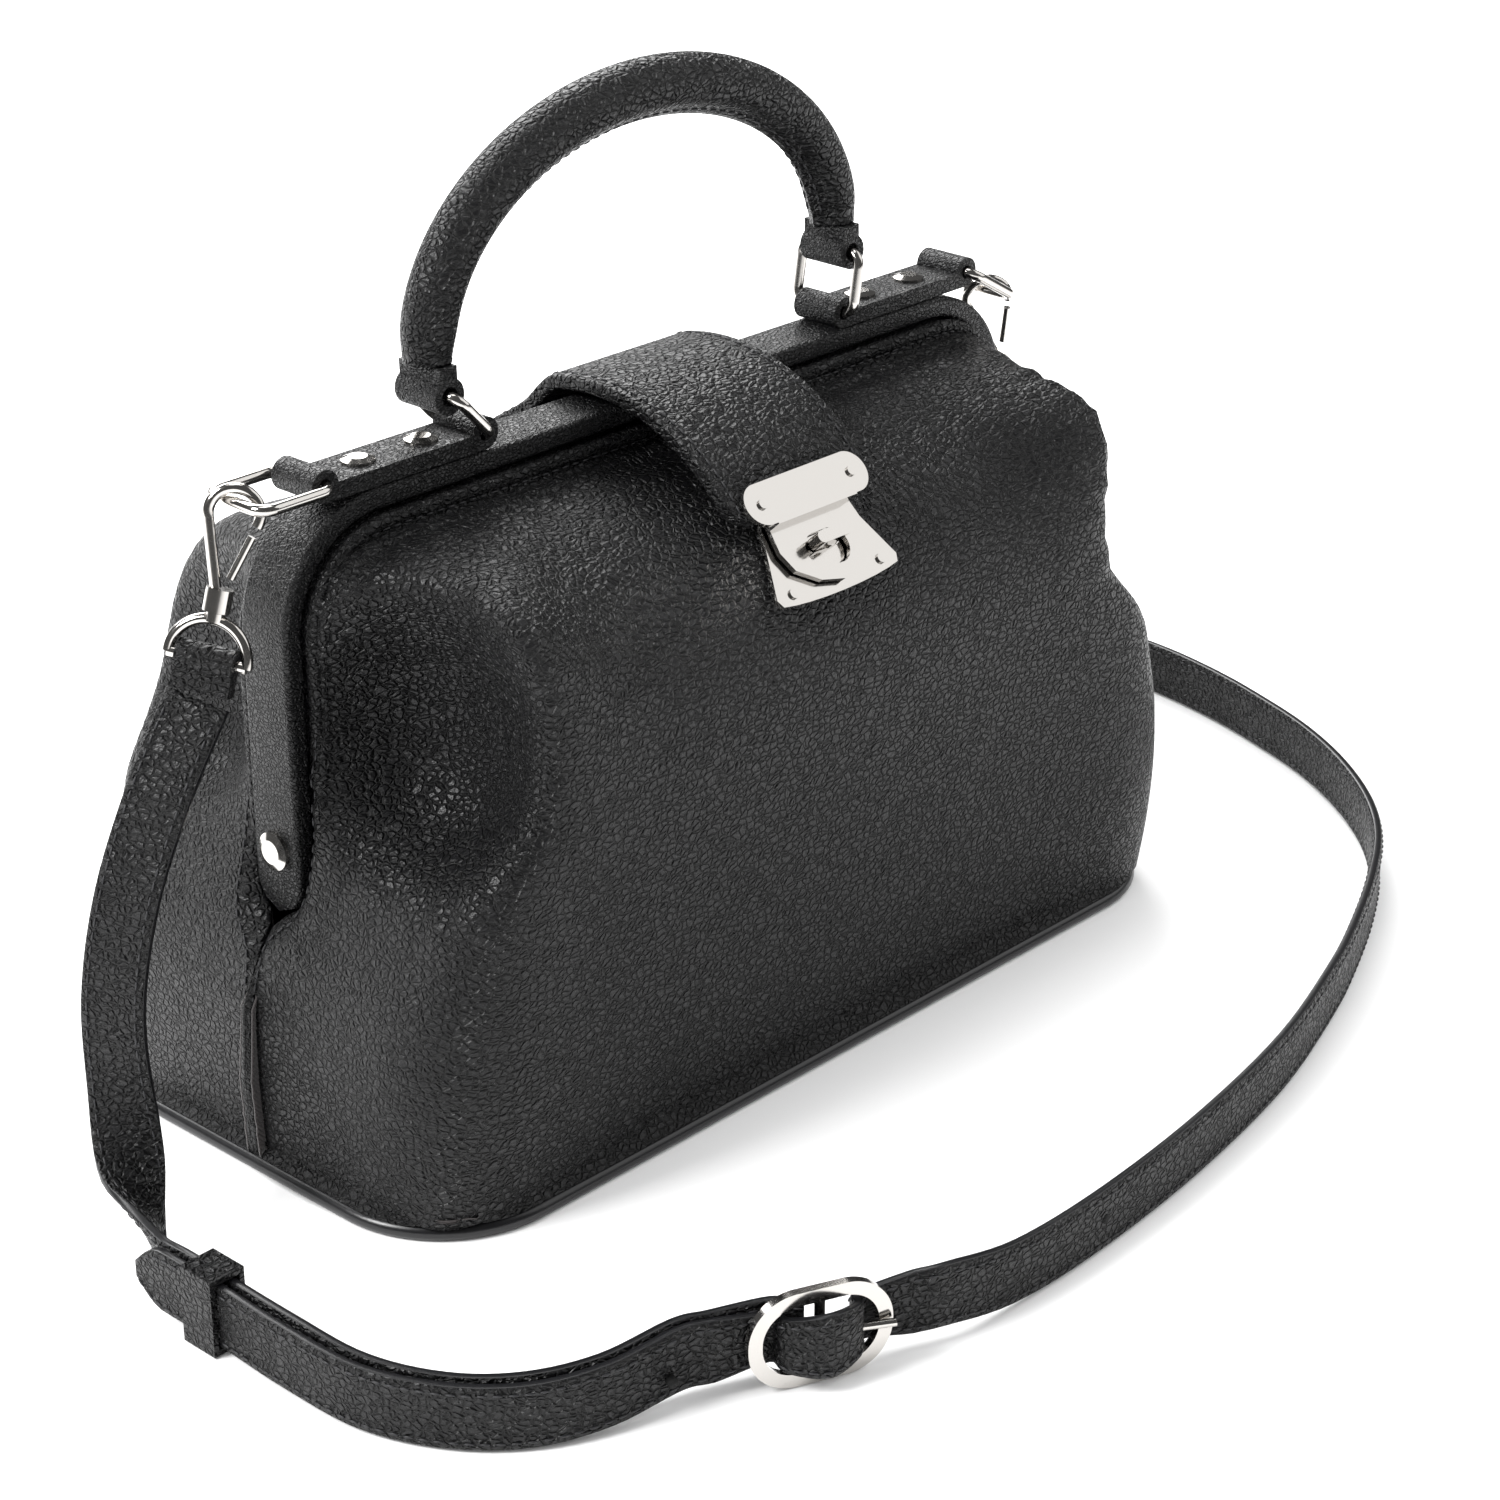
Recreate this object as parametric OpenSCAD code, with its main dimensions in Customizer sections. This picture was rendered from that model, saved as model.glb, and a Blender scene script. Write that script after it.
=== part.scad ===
// Doctor bag: soft leather body on two hinged U-shaped jaws, a flap with a turn lock,
// an arched handle on two rings, and a buckled shoulder strap on two snap hooks.
// Millimetres. +X along the bag, -Y to its front, +Z up, origin under the middle of the base.

/* [Body] */
// Length of the body where it is widest
body_l = 322; // [316:1:326]
// Depth of the body where it bulges most
body_d = 160; // [156:1:164]
// Height of the body's crown under the frame
crown_z = 179; // [178:0.5:180]
// Thickness of the leather panels
hide_t = 2.4; // [1.8:0.2:2.6]
// Diameter of the piping around the base
piping_d = 4.6; // [4:0.2:4.6]

/* [Frame] */
// Length over the outer jaw's legs
jaw_l = 290; // [286:1:290]
// Height of the top of the outer jaw
jaw_top = 187; // [186:0.5:188]
// Width of the outer jaw, front to back
jaw_w = 18; // [16:0.5:18]
// Thickness of the leather-wrapped outer jaw
outer_jaw_t = 6; // [5:0.5:6]
// Thickness of the leather-wrapped inner jaw
inner_jaw_t = 7; // [6:0.5:7.5]
// Height of the hinge rivets
hinge_z = 92; // [90:1:94]

/* [Flap and lock] */
// Width of the closing flap
flap_w = 56; // [50:1:60]
// Thickness of the flap
flap_t = 4.4; // [3.6:0.2:4.4]
// Width of the hasp's upper plate
hasp_w = 48; // [44:1:52]
// Width of the turn knob's wing
knob_w = 13; // [11:0.5:13]

/* [Handle] */
// Diameter of the padded grip
grip_d = 15.6; // [14:0.2:16]
// Rise of the grip's arch
grip_rise = 56; // [50:1:60]
// Lean of the left handle ring, in degrees
left_lean = 43; // [40:1:46]
// Lean of the right handle ring, in degrees
right_lean = 10; // [8:1:12]

/* [Shoulder strap] */
// Width of the shoulder strap
strap_w = 18; // [16:0.5:18]
// Thickness of the shoulder strap
strap_t = 3; // [2.4:0.2:3]

/* [Hidden] */

far = 400;            // longer than any cut through the bag
fit_gap = 0.3;        // clearance between neighbouring bodies
base_inset = 4;       // how far the base tucks in under the belly, at the front and back
panel_z = 4.7;        // lower edge of the panels, on top of the piping
belly_z = 50;         // height at which the belly is widest
shoulder_z = 105;     // height at which the body starts to round over
plan_r = 38;          // corner radius of the body seen from above
gusset_x = 142;       // half length of the body beside the frame
gusset_z = 82;        // height at which the ends reach the frame's legs
jaw_r = 34;           // outer corner radius of the outer jaw
foot_z = hinge_z - 18; // lower end of the jaws' legs
bar_t = 2;            // steel strip inside each jaw

half_l = body_l / 2;
half_d = body_d / 2;

function unit(v) = v / norm(v);

// ---------- directions of drawing ----------

// Stands an X-Z outline up and gives it width w along Y
module upright(w) {
    rotate([90, 0, 0]) linear_extrude(w, center = true) children();
}

// Stands a Y-Z outline up and gives it length l along X
module sideways(l) {
    rotate([90, 0, 90]) linear_extrude(l, center = true) children();
}

// Rectangle hx by hy half sizes with round corners
module round_box_2d(hx, hy, r) {
    square([2 * hx, 2 * (hy - r)], center = true);
    square([2 * (hx - r), 2 * hy], center = true);
    for (sx = [-1, 1], sy = [-1, 1])
        translate([sx * (hx - r), sy * (hy - r)]) circle(r, $fn = 64);
}

// Closed ring of round cord along a rounded rectangle
module round_box_tube(hx, hy, r, cord_r) {
    for (k = [0 : 3]) {
        sx = (k == 0 || k == 3) ? 1 : -1;
        sy = k < 2 ? 1 : -1;
        translate([sx * (hx - r), sy * (hy - r), 0]) rotate([0, 0, 90 * k])
            rotate_extrude(angle = 90, $fn = 96) translate([r, 0]) circle(cord_r, $fn = 32);
    }
    for (s = [-1, 1]) {
        translate([0, s * hy, 0]) rotate([0, 90, 0])
            cylinder(h = 2 * (hx - r), r = cord_r, center = true, $fn = 32);
        translate([s * hx, 0, 0]) rotate([90, 0, 0])
            cylinder(h = 2 * (hy - r), r = cord_r, center = true, $fn = 32);
    }
}

// Solid arch outline: straight legs and two round upper corners
module arch_2d(half, top, r, foot) {
    translate([-half, foot]) square([2 * half, top - r - foot]);
    translate([r - half, foot]) square([2 * (half - r), top - foot]);
    for (s = [-1, 1]) translate([s * (half - r), top - r]) circle(r, $fn = 96);
}

module arch_band_2d(half, top, r, t, foot) {
    difference() {
        arch_2d(half, top, r, foot);
        arch_2d(half - t, top - t, r - t, foot - 1);
    }
}

// Jaw of width front to back, y from y0 to y1, with rounded feet
module jaw(half, top, r, t, y0, y1) {
    mid = (y0 + y1) / 2;
    w = y1 - y0;
    intersection() {
        translate([0, mid, 0]) upright(w) arch_band_2d(half, top, r, t, foot_z);
        sideways(far) {
            translate([mid, foot_z + w / 2]) circle(w / 2, $fn = 64);
            translate([y0, foot_z + w / 2]) square([w, far]);
        }
    }
}

// ---------- leather body ----------

// Side outline of the back half, drawn in by k: base, belly, then a quarter ellipse
function side_points(k) = concat(
    [[-1, panel_z - k], [half_d - base_inset - k, panel_z - k], [half_d - 1.2 - k, 25],
        [half_d - k, belly_z]],
    [for (a = [0 : 9 : 90])
        [(half_d - k) * cos(a), shoulder_z + (crown_z - k - shoulder_z) * sin(a)]],
    [[-1, crown_z - k]]);

// End outline of the +X half, drawn in by k: foot, bulge, waist, then the frame's corner
function end_points(k) = concat(
    [[0, panel_z - k], [half_l - 1.5 - k, panel_z - k], [half_l - k, 28],
        [half_l - 1.5 - k, belly_z], [half_l - 7 - k, 66], [half_l - 14 - k, 75],
        [gusset_x - k, gusset_z]],
    [for (a = [0 : 9 : 90]) [gusset_x - jaw_r + (jaw_r - k) * cos(a),
        crown_z - jaw_r + (jaw_r - k) * sin(a)]],
    [[0, crown_z - k]]);

// Back half of the body as one solid, drawn in by k and cut flat at y = from
module half_body(k, from) {
    intersection() {
        linear_extrude(far) round_box_2d(half_l - k, half_d - k, plan_r - k);
        upright(far) {
            polygon(end_points(k));
            mirror([1, 0]) polygon(end_points(k));
        }
        sideways(far) polygon(side_points(k));
        translate([-far / 2, from, -far / 2]) cube(far);
    }
}

// Leather skin of a half body: lower than the feet it meets the end seam,
// higher up it stops behind the jaws
module half_skin(outer, inner, seam_y) {
    difference() {
        half_body(outer, seam_y);
        half_body(inner, -1);
        translate([-far / 2, -far / 2, foot_z - 0.5]) cube([far, far / 2 + jaw_w / 2 + 0.4, far]);
    }
}

module bottom_panel() {
    color("#17171a")
        linear_extrude(hide_t) round_box_2d(half_l - 5.2, half_d - 8.2, plan_r - 5);
}

module base_board() {
    color("#8a7355") translate([0, 0, hide_t + fit_gap])
        linear_extrude(2) round_box_2d(half_l - 8, half_d - 11, plan_r - 8);
}

module base_piping() {
    color("#101012") translate([0, 0, piping_d / 2])
        round_box_tube(half_l - 2.5, half_d - 5.5, plan_r - 2.5, piping_d / 2);
}

module back_panel() {
    color("#1b1b1e") half_skin(0, hide_t, 0.2);
}

module lining_back() {
    color("#3a3432") difference() {
        half_skin(hide_t + 0.2, hide_t + 0.8, 0.2);
        translate([-far / 2, -far / 2, -far + panel_z + 1]) cube(far);
    }
}

// The lower front swallows the upper front as the bag opens, so it stops at lip_z,
// and its two ends fold inwards to the legs
lip_z = 60;
swing_r = 76.4;       // outer radius of the part of the front that swings inside
cheek_x = 138;        // half length of everything that swings with the front jaw

module front_panel_lower() {
    color("#1b1b1e") difference() {
        mirror([0, 1, 0]) half_skin(0, hide_t, 0.2);
        translate([-cheek_x - 1.4, -far, lip_z]) cube([2 * cheek_x + 2.8, far, far]);
        translate([-far / 2, -far / 2, foot_z + 6]) cube(far);
    }
}

// Front outline around the hinge: a round lower part, then the same ellipse as the back
function front_points(k) = concat(
    [for (a = [-22 : 4 : 22]) [-(swing_r - k) * cos(a), hinge_z + (swing_r - k) * sin(a)]],
    [for (a = [40 : 7 : 82])
        [-(half_d - k) * cos(a), shoulder_z + (crown_z - k - shoulder_z) * sin(a)]]);
front_low = hinge_z - swing_r * sin(22);

module front_half(k, reach) {
    intersection() {
        upright(far) arch_2d(reach, crown_z + 0.3 - k, jaw_r - 6.4 - k, -1);
        sideways(far) polygon(concat([[9, front_low + 8], [-20, front_low]], front_points(k),
            [[-9, crown_z - k], [9, crown_z - k]]));
    }
}

// Opens the underside of the swinging front between its cheeks
module visor_mouth() {
    depth = 67.5;
    translate([-cheek_x + hide_t, -depth, 0])
        cube([2 * (cheek_x - hide_t), depth + 20, front_low + 9]);
}

module front_panel_upper() {
    color("#1b1b1e") difference() {
        front_half(0, cheek_x);
        front_half(hide_t, cheek_x - hide_t);
        translate([-far / 2, -inner_jaw_y, -1]) cube(far);
        visor_mouth();
        at_lock() translate([0, knob_v, -10]) cylinder(h = 20, r = stem_r + 0.4, $fn = 32);
        at_lock() lock_screw_places() translate([0, 0, -10]) cylinder(h = 20, r = 0.9, $fn = 24);
    }
}

module lining_front() {
    color("#3a3432") difference() {
        front_half(hide_t + 0.2, cheek_x - hide_t - 0.2);
        front_half(hide_t + 0.8, cheek_x - hide_t - 0.8);
        translate([-far / 2, -inner_jaw_y - 0.5, -1]) cube(far);
        visor_mouth();
        at_lock() translate([-24, -16, -12]) cube([48, 34, 20]);
    }
}

// ---------- frame ----------

inner_jaw_half = jaw_l / 2 - outer_jaw_t - 1;
inner_jaw_top = jaw_top - outer_jaw_t - 1.4;
inner_jaw_y = 9.6;    // front of the inner jaw
inner_jaw_back = 6;   // back of the inner jaw
rivet_r = 2.5;

module hinge_hole(r) {
    translate([0, 0, hinge_z]) rotate([0, 90, 0]) cylinder(h = far, r = r, center = true, $fn = 48);
}

module strap_rivet_places() {
    for (x = [-110, -88, 88, 110]) translate([x, 0, 0]) children();
}

module back_frame_bar() {
    color("silver") difference() {
        jaw(jaw_l / 2 - 2, jaw_top - 2, jaw_r - 2, bar_t, -jaw_w / 2 + 2, jaw_w / 2 - 2);
        hinge_hole(rivet_r);
        strap_rivet_places() cylinder(h = far, r = 1.5, $fn = 32);
    }
}

module back_frame_cover() {
    color("#222226") difference() {
        jaw(jaw_l / 2, jaw_top, jaw_r, outer_jaw_t, -jaw_w / 2, jaw_w / 2);
        jaw(jaw_l / 2 - 2, jaw_top - 2, jaw_r - 2, bar_t, -jaw_w / 2 + 2, jaw_w / 2 - 2);
        hinge_hole(rivet_r);
        strap_rivet_places() cylinder(h = far, r = 1.5, $fn = 32);
    }
}

module inner_bar() {
    jaw(inner_jaw_half - 2.5, inner_jaw_top - 2.5, jaw_r - 9.5, bar_t,
        -inner_jaw_y + 2, inner_jaw_back - 2);
}

module front_frame_bar() {
    color("silver") difference() {
        inner_bar();
        hinge_hole(rivet_r + 0.2);
    }
}

module front_frame_cover() {
    color("#222226") difference() {
        jaw(inner_jaw_half, inner_jaw_top, jaw_r - 7, inner_jaw_t, -inner_jaw_y, inner_jaw_back);
        inner_bar();
        hinge_hole(rivet_r + 0.2);
    }
}

// Cord-filled ridge along a jaw: two legs, two quarter bends and a straight top
module welt(half, top, r, foot, y, cord_r) {
    translate([0, y, 0]) {
        for (s = [-1, 1]) {
            translate([s * half, 0, foot]) cylinder(h = top - r - foot, r = cord_r, $fn = 24);
            translate([s * (half - r), 0, top - r]) rotate([90, 0, 0]) rotate([0, 0, s > 0 ? 0 : 90])
                rotate_extrude(angle = 90, $fn = 64) translate([r, 0]) circle(cord_r, $fn = 24);
        }
        translate([0, 0, top]) rotate([0, 90, 0])
            cylinder(h = 2 * (half - r), r = cord_r, center = true, $fn = 24);
    }
}

welt_r = 1.8;

module front_welt() {
    color("#1b1b1e") difference() {
        welt(cheek_x - 0.4, crown_z - 0.1, jaw_r - 6.8, 104, -inner_jaw_y - welt_r - 0.2, welt_r);
        front_half(-0.15, cheek_x + 0.15);
    }
}

module back_welt() {
    color("#1b1b1e") difference() {
        welt(gusset_x, crown_z + 1, jaw_r - 1, 96, jaw_w / 2 + welt_r + 0.5, welt_r);
        half_body(-0.2, -1);
    }
}

// Hinge rivet, side = -1 left or 1 right: dome outside, shank, washer inside
module hinge_rivet(side) {
    color("gainsboro") mirror([side < 0 ? 1 : 0, 0, 0]) translate([0, 0, hinge_z])
        rotate([0, 90, 0]) {
            translate([0, 0, jaw_l / 2]) cylinder(h = 1.2, r = 5.4, $fn = 64);
            translate([0, 0, jaw_l / 2 + 1.2]) cylinder(h = 0.9, r1 = 5.4, r2 = 3.4, $fn = 64);
            inner_face = inner_jaw_half - inner_jaw_t;
            translate([0, 0, inner_face - 1.6])
                cylinder(h = jaw_l / 2 - inner_face + 1.6, r = rivet_r, $fn = 48);
            translate([0, 0, inner_face - 1.7]) cylinder(h = 1.4, r = 4.6, $fn = 48);
        }
}

module hinge_rivet_left() { hinge_rivet(-1); }
module hinge_rivet_right() { hinge_rivet(1); }

// ---------- straps on the frame ----------

lug_w = 16;           // width of the leather lugs and tabs
loop_x = 72;          // inner loops, which hold the handle's rings
outer_loop_x = 128;   // outer loops, which hold the side rings
loop_wall = 2.4;
loop_bore = 2.1;
loop_z = jaw_top + 0.3 + loop_bore + loop_wall;
strap_layers = 4.8;

module y_rod(len, r) {
    rotate([90, 0, 0]) cylinder(h = len, r = r, center = true, $fn = 48);
}

module top_strap(side) {
    color("#202024") difference() {
        union() {
            translate([side > 0 ? loop_x : -outer_loop_x, -lug_w / 2, jaw_top + 0.3])
                cube([outer_loop_x - loop_x, lug_w, strap_layers]);
            for (x = [loop_x, outer_loop_x])
                translate([side * x, 0, loop_z]) y_rod(lug_w, loop_bore + loop_wall);
        }
        for (x = [loop_x, outer_loop_x])
            translate([side * x, 0, loop_z]) y_rod(lug_w + 2, loop_bore);
        strap_rivet_places() cylinder(h = far, r = 1.5, $fn = 32);
    }
}

module top_strap_left() { top_strap(-1); }
module top_strap_right() { top_strap(1); }

module strap_rivets() {
    head_z = jaw_top + 0.3 + strap_layers;
    shank_z = jaw_top - outer_jaw_t;
    color("gainsboro") strap_rivet_places() {
        translate([0, 0, shank_z]) cylinder(h = head_z - shank_z, r = 1.5, $fn = 32);
        translate([0, 0, head_z]) cylinder(h = 0.7, r = 4.6, $fn = 48);
        translate([0, 0, head_z + 0.7]) cylinder(h = 0.8, r1 = 4.6, r2 = 2.6, $fn = 48);
    }
}

// Rectangular wire ring with bars along Y: lower bar at the origin, upper bar at z = h
module wire_ring(h, half_w, wire_r, corner_r) {
    for (z = [0, h]) translate([0, 0, z]) y_rod(2 * (half_w - corner_r), wire_r);
    for (s = [-1, 1]) {
        translate([0, s * half_w, corner_r]) cylinder(h = h - 2 * corner_r, r = wire_r, $fn = 32);
        for (top = [0, 1])
            translate([0, s * (half_w - corner_r), top ? h - corner_r : corner_r])
                mirror([0, s < 0 ? 1 : 0, 0]) mirror([0, 0, top ? 0 : 1]) rotate([90, 0, 90])
                    rotate_extrude(angle = 90, $fn = 64) translate([corner_r, 0])
                        circle(wire_r, $fn = 32);
    }
}

ring_h = 18;
ring_half_w = 11;
wire_r = 1.6;
left_pivot = [-loop_x - ring_h * sin(left_lean), loop_z + ring_h * cos(left_lean)];
right_pivot = [loop_x + ring_h * sin(right_lean), loop_z + ring_h * cos(right_lean)];

module handle_ring_left() {
    color("gainsboro") translate([-loop_x, 0, loop_z]) rotate([0, -left_lean, 0])
        wire_ring(ring_h, ring_half_w, wire_r, 4);
}

module handle_ring_right() {
    color("gainsboro") translate([loop_x, 0, loop_z]) rotate([0, right_lean, 0])
        wire_ring(ring_h, ring_half_w, wire_r, 4);
}

side_ring_h = 23;
side_ring_drop = 30;  // how far the right side ring hangs below level, in degrees

module side_ring_left() {
    color("gainsboro") translate([-outer_loop_x, 0, loop_z]) rotate([0, -90, 0])
        wire_ring(side_ring_h, ring_half_w, wire_r, 4);
}

module side_ring_right() {
    color("gainsboro") translate([outer_loop_x, 0, loop_z]) rotate([0, 90 + side_ring_drop, 0])
        wire_ring(side_ring_h, ring_half_w, wire_r, 4);
}

// ---------- handle ----------

handle_span = norm(right_pivot - left_pivot);
handle_tilt = asin((right_pivot[1] - left_pivot[1]) / handle_span);
handle_mid = (left_pivot + right_pivot) / 2;
grip_half = handle_span / 2;
grip_foot = 8;        // height of the grip's ends above the rings' upper bars
tab_bore = 2.7;
tab_plug = 5;

module at_handle() {
    translate([handle_mid[0], 0, handle_mid[1]]) rotate([0, -handle_tilt, 0]) children();
}

// Middle of the grip at angle a along its arch, from 0 at the right to 180 at the left
function grip_at(a) = [grip_half * cos(a), 0, grip_foot + grip_rise * sin(a)];

// Ring of points of radius r around the grip's middle, square to the arch
function grip_ring(a, r, sides) = let(n = unit([grip_rise * cos(a), 0, grip_half * sin(a)]))
    [for (j = [0 : sides - 1]) let(b = 360 * j / sides)
        grip_at(a) + r * cos(b) * n + [0, r * sin(b), 0]];

// Arch of round section from angle a0 to 180 - a0
module grip_arch(r, a0, sides, steps) {
    polyhedron(
        points = [for (i = [0 : steps]) each grip_ring(a0 + (180 - 2 * a0) * i / steps, r, sides)],
        faces = concat(
            [[for (j = [0 : sides - 1]) j]],
            [[for (j = [sides - 1 : -1 : 0]) steps * sides + j]],
            [for (i = [0 : steps - 1]) for (j = [0 : sides - 1])
                [i * sides + j, (i + 1) * sides + j,
                    (i + 1) * sides + (j + 1) % sides, i * sides + (j + 1) % sides]]));
}

module handle_grip() {
    color("#1b1b1e") at_handle() difference() {
        grip_arch(grip_d / 2, 0, 20, 26);
        grip_arch(4.2, -2, 12, 26);
    }
}

module handle_core() {
    color("tan") at_handle() grip_arch(3.9, 7, 12, 24);
}

module handle_tab(side) {
    color("#202024") at_handle() translate([side * grip_half, 0, 0]) {
        difference() {
            union() {
                y_rod(lug_w, tab_bore + loop_wall);
                translate([-3, -lug_w / 2, 0]) cube([6, lug_w, grip_foot]);
            }
            y_rod(lug_w + 2, tab_bore);
        }
        translate([0, 0, grip_foot]) cylinder(h = tab_plug, r = 3.7, $fn = 32);
    }
}

module handle_tab_left() { handle_tab(-1); }
module handle_tab_right() { handle_tab(1); }

// ---------- flap and turn lock ----------

flap_y = -3;          // centre of the flap's round arch
flap_z = 127;
flap_r = 63;          // radius of its underside
fold_a = 67.5;        // where the flap folds, measured up from the front
flap_end_a = 34.6;
flap_back_a = 104;

function flap_arc(r, a0, a1) = [for (k = [0 : 10]) let(a = a0 + (a1 - a0) * k / 10)
    [flap_y - r * cos(a), flap_z + r * sin(a)]];

module flap_band(a0, a1, w) {
    sideways(w) polygon(concat(flap_arc(flap_r, a0, a1), flap_arc(flap_r + flap_t, a1, a0)));
}

// Rear of the flap: over the frame, then down the back panel, where it is sewn
flap_tail_y = 44;
function crown_at(y, k) = shoulder_z + (crown_z + k - shoulder_z) * sqrt(1 - pow(y / (half_d + k), 2));

module flap_root() {
    steps = [0 : 4];
    start = 17;
    color("#1b1b1e") {
        flap_band(fold_a, flap_back_a, flap_w);
        sideways(flap_w) polygon(concat(
            [for (r = [flap_r, flap_r + flap_t])
                [flap_y - r * cos(flap_back_a), flap_z + r * sin(flap_back_a)]],
            [for (k = steps) let(y = start + (flap_tail_y - start) * (k + 1) / 5)
                [y, crown_at(y, 0.4 + flap_t)]],
            [for (k = [4 : -1 : 0]) let(y = start + (flap_tail_y - start) * (k + 0.9) / 5)
                [y, crown_at(y, 0.4)]]));
    }
}

module flap_end() {
    color("#1b1b1e") difference() {
        flap_band(flap_end_a, fold_a - 0.4, flap_w - 2);
        at_lock() hasp_screw_places() cylinder(h = far, r = 0.9, center = true, $fn = 24);
    }
}

// The lock's own frame: X across, Y up the slope of the front, Z out of the leather
lock_slope = 48.2;
lock_a = 39.4;        // where the lock sits on the front's ellipse
module at_lock() {
    translate([0, -half_d * cos(lock_a), shoulder_z + (crown_z - shoulder_z) * sin(lock_a)])
        rotate([lock_slope, 0, 0]) children();
}

plate_t = 1.6;
hasp_z = 3;           // underside of the hasp's lower plate
upper_z = 7.4;        // underside of its upper plate, on the flap
upper_v = 15.5;       // middle of the upper plate, up the slope
step_v = 8.9;         // where the hasp steps down to its lower plate
window_v = -1.2;      // middle of the window that the knob passes through
window_h = 10.6;
window_w = knob_w + 3;
knob_v = 1;
stem_r = 2;

module hasp_screw_places() {
    for (s = [-1, 1]) translate([s * (hasp_w / 2 - 6), upper_v, 0]) children();
}

module lock_screw_places() {
    for (s = [-1, 1]) translate([s * 18, -9.2, 0]) children();
}

module slot_2d(w, h) {
    for (s = [-1, 1]) translate([s * (w - h) / 2, 0]) circle(d = h, $fn = 48);
    square([w - h, h], center = true);
}

module hasp_plate() {
    color("gainsboro") at_lock() difference() {
        union() {
            translate([0, upper_v, upper_z]) linear_extrude(plate_t) slot_2d(hasp_w, 12.4);
            translate([-16, step_v, hasp_z]) cube([32, plate_t, upper_z - hasp_z + plate_t]);
            translate([0, 0, hasp_z]) linear_extrude(plate_t)
                polygon([[-16, step_v + 1], [-17, 2], [-15, -4], [-8, -9], [0, -11],
                    [8, -9], [15, -4], [17, 2], [16, step_v + 1]]);
        }
        translate([0, window_v, 0]) linear_extrude(hasp_z + 3) slot_2d(window_w, window_h);
        hasp_screw_places() cylinder(h = far, r = 0.9, $fn = 24);
    }
}

module screw(z, grip) {
    translate([0, 0, z]) cylinder(h = 0.7, r = 1.5, $fn = 32);
    translate([0, 0, z - grip]) cylinder(h = grip, r = 0.9, $fn = 24);
}

module hasp_screws() {
    color("silver") at_lock() hasp_screw_places() screw(upper_z + plate_t, 4);
}

module lock_base() {
    color("gainsboro") at_lock() difference() {
        union() {
            translate([0, 0, 0.5]) linear_extrude(1.8)
                polygon(concat([[-16, 12], [-24.5, -9.4]],
                    [for (a = [-60 : 15 : 60]) [27 * sin(a), -10 - 3.4 * cos(a)]],
                    [[24.5, -9.4], [16, 12]]));
            translate([0, knob_v + 0.2, 2.3]) linear_extrude(1.6) slot_2d(13, 4.6);
        }
        translate([0, knob_v, 0]) cylinder(h = 10, r = stem_r, $fn = 32);
        lock_screw_places() cylinder(h = 10, r = 0.9, $fn = 24);
    }
}

module lock_screws() {
    color("silver") at_lock() lock_screw_places() screw(2.3, 5);
}

module lock_backing() {
    color("silver") at_lock() difference() {
        translate([-20, -11, -9.6]) cube([40, 22, 1.4]);
        translate([0, knob_v, -10]) cylinder(h = 20, r = stem_r + 0.3, $fn = 32);
        lock_screw_places() translate([0, 0, -10]) cylinder(h = 20, r = 0.9, $fn = 24);
    }
}

module turn_knob() {
    color("gainsboro") at_lock() translate([0, knob_v, 0]) {
        translate([0, 0, -10]) cylinder(h = 15.4, r = stem_r, $fn = 32);
        translate([0, 0, 4.9]) linear_extrude(5) slot_2d(knob_w, 3.6);
        translate([0, 0, 4.9]) cylinder(h = 2, r = 2.6, $fn = 32);
    }
}

// ---------- snap hooks ----------

hook_r = 6.6;         // centreline radius of the hook's round end
hook_wire = 1.5;
hook_len = 27;        // from the hook's top bar down to its barrel
swivel_z = -hook_len - 5.3;
dee_drop = -12.4;     // from the swivel down to the dee's bar
dee_yaw = -13;
barrel_r = 3.6;
dee_r = 10.6;         // centreline radius of the dee below the swivel

// A hook hangs down its own -Z from the ring's bar; side = -1 left or 1 right
hook_yaw = -45;
hook_lean = 18;
hook_inset = 1.6;     // how far inside the ring's outer bar the hook hangs

module at_hook(side) {
    drop = side < 0 ? 0 : side_ring_drop;
    bar_x = outer_loop_x + side_ring_h * cos(drop);
    bar_z = loop_z - side_ring_h * sin(drop);
    translate([side * (bar_x - hook_inset), 0, bar_z + wire_r + hook_wire + 0.3])
        rotate([0, -side * hook_lean, 0]) rotate([0, 0, hook_yaw]) children();
}

hook_tangent = asin(hook_r / (hook_len - hook_r));

// Straight leg of the teardrop from the round end down to the barrel, on side s
module hook_leg(s, from, to, r) {
    a = hook_tangent;
    start = [s * hook_r * cos(a), -hook_r - hook_r * sin(a)];
    stop = [s * 1.2, -hook_len + 1];
    p = start + (stop - start) * from;
    q = start + (stop - start) * to;
    d = q - p;
    translate([p[0], 0, p[1]]) rotate([0, atan2(d[0], d[1]), 0]) cylinder(h = norm(d), r = r, $fn = 24);
}

module hook_body(side) {
    color("gainsboro") at_hook(side) {
        translate([0, 0, -hook_r]) rotate([90, 0, 0]) rotate([0, 0, -hook_tangent])
            rotate_extrude(angle = 180 + 2 * hook_tangent, $fn = 64)
                translate([hook_r, 0]) circle(hook_wire, $fn = 24);
        hook_leg(-1, 0, 1, hook_wire);
        translate([0, 0, -hook_len - 5]) cylinder(h = 6, r = barrel_r, $fn = 40);
    }
}

module hook_gate(side) {
    color("gainsboro") at_hook(side) hook_leg(1, 0.16, 0.83, 1.1);
}

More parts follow.
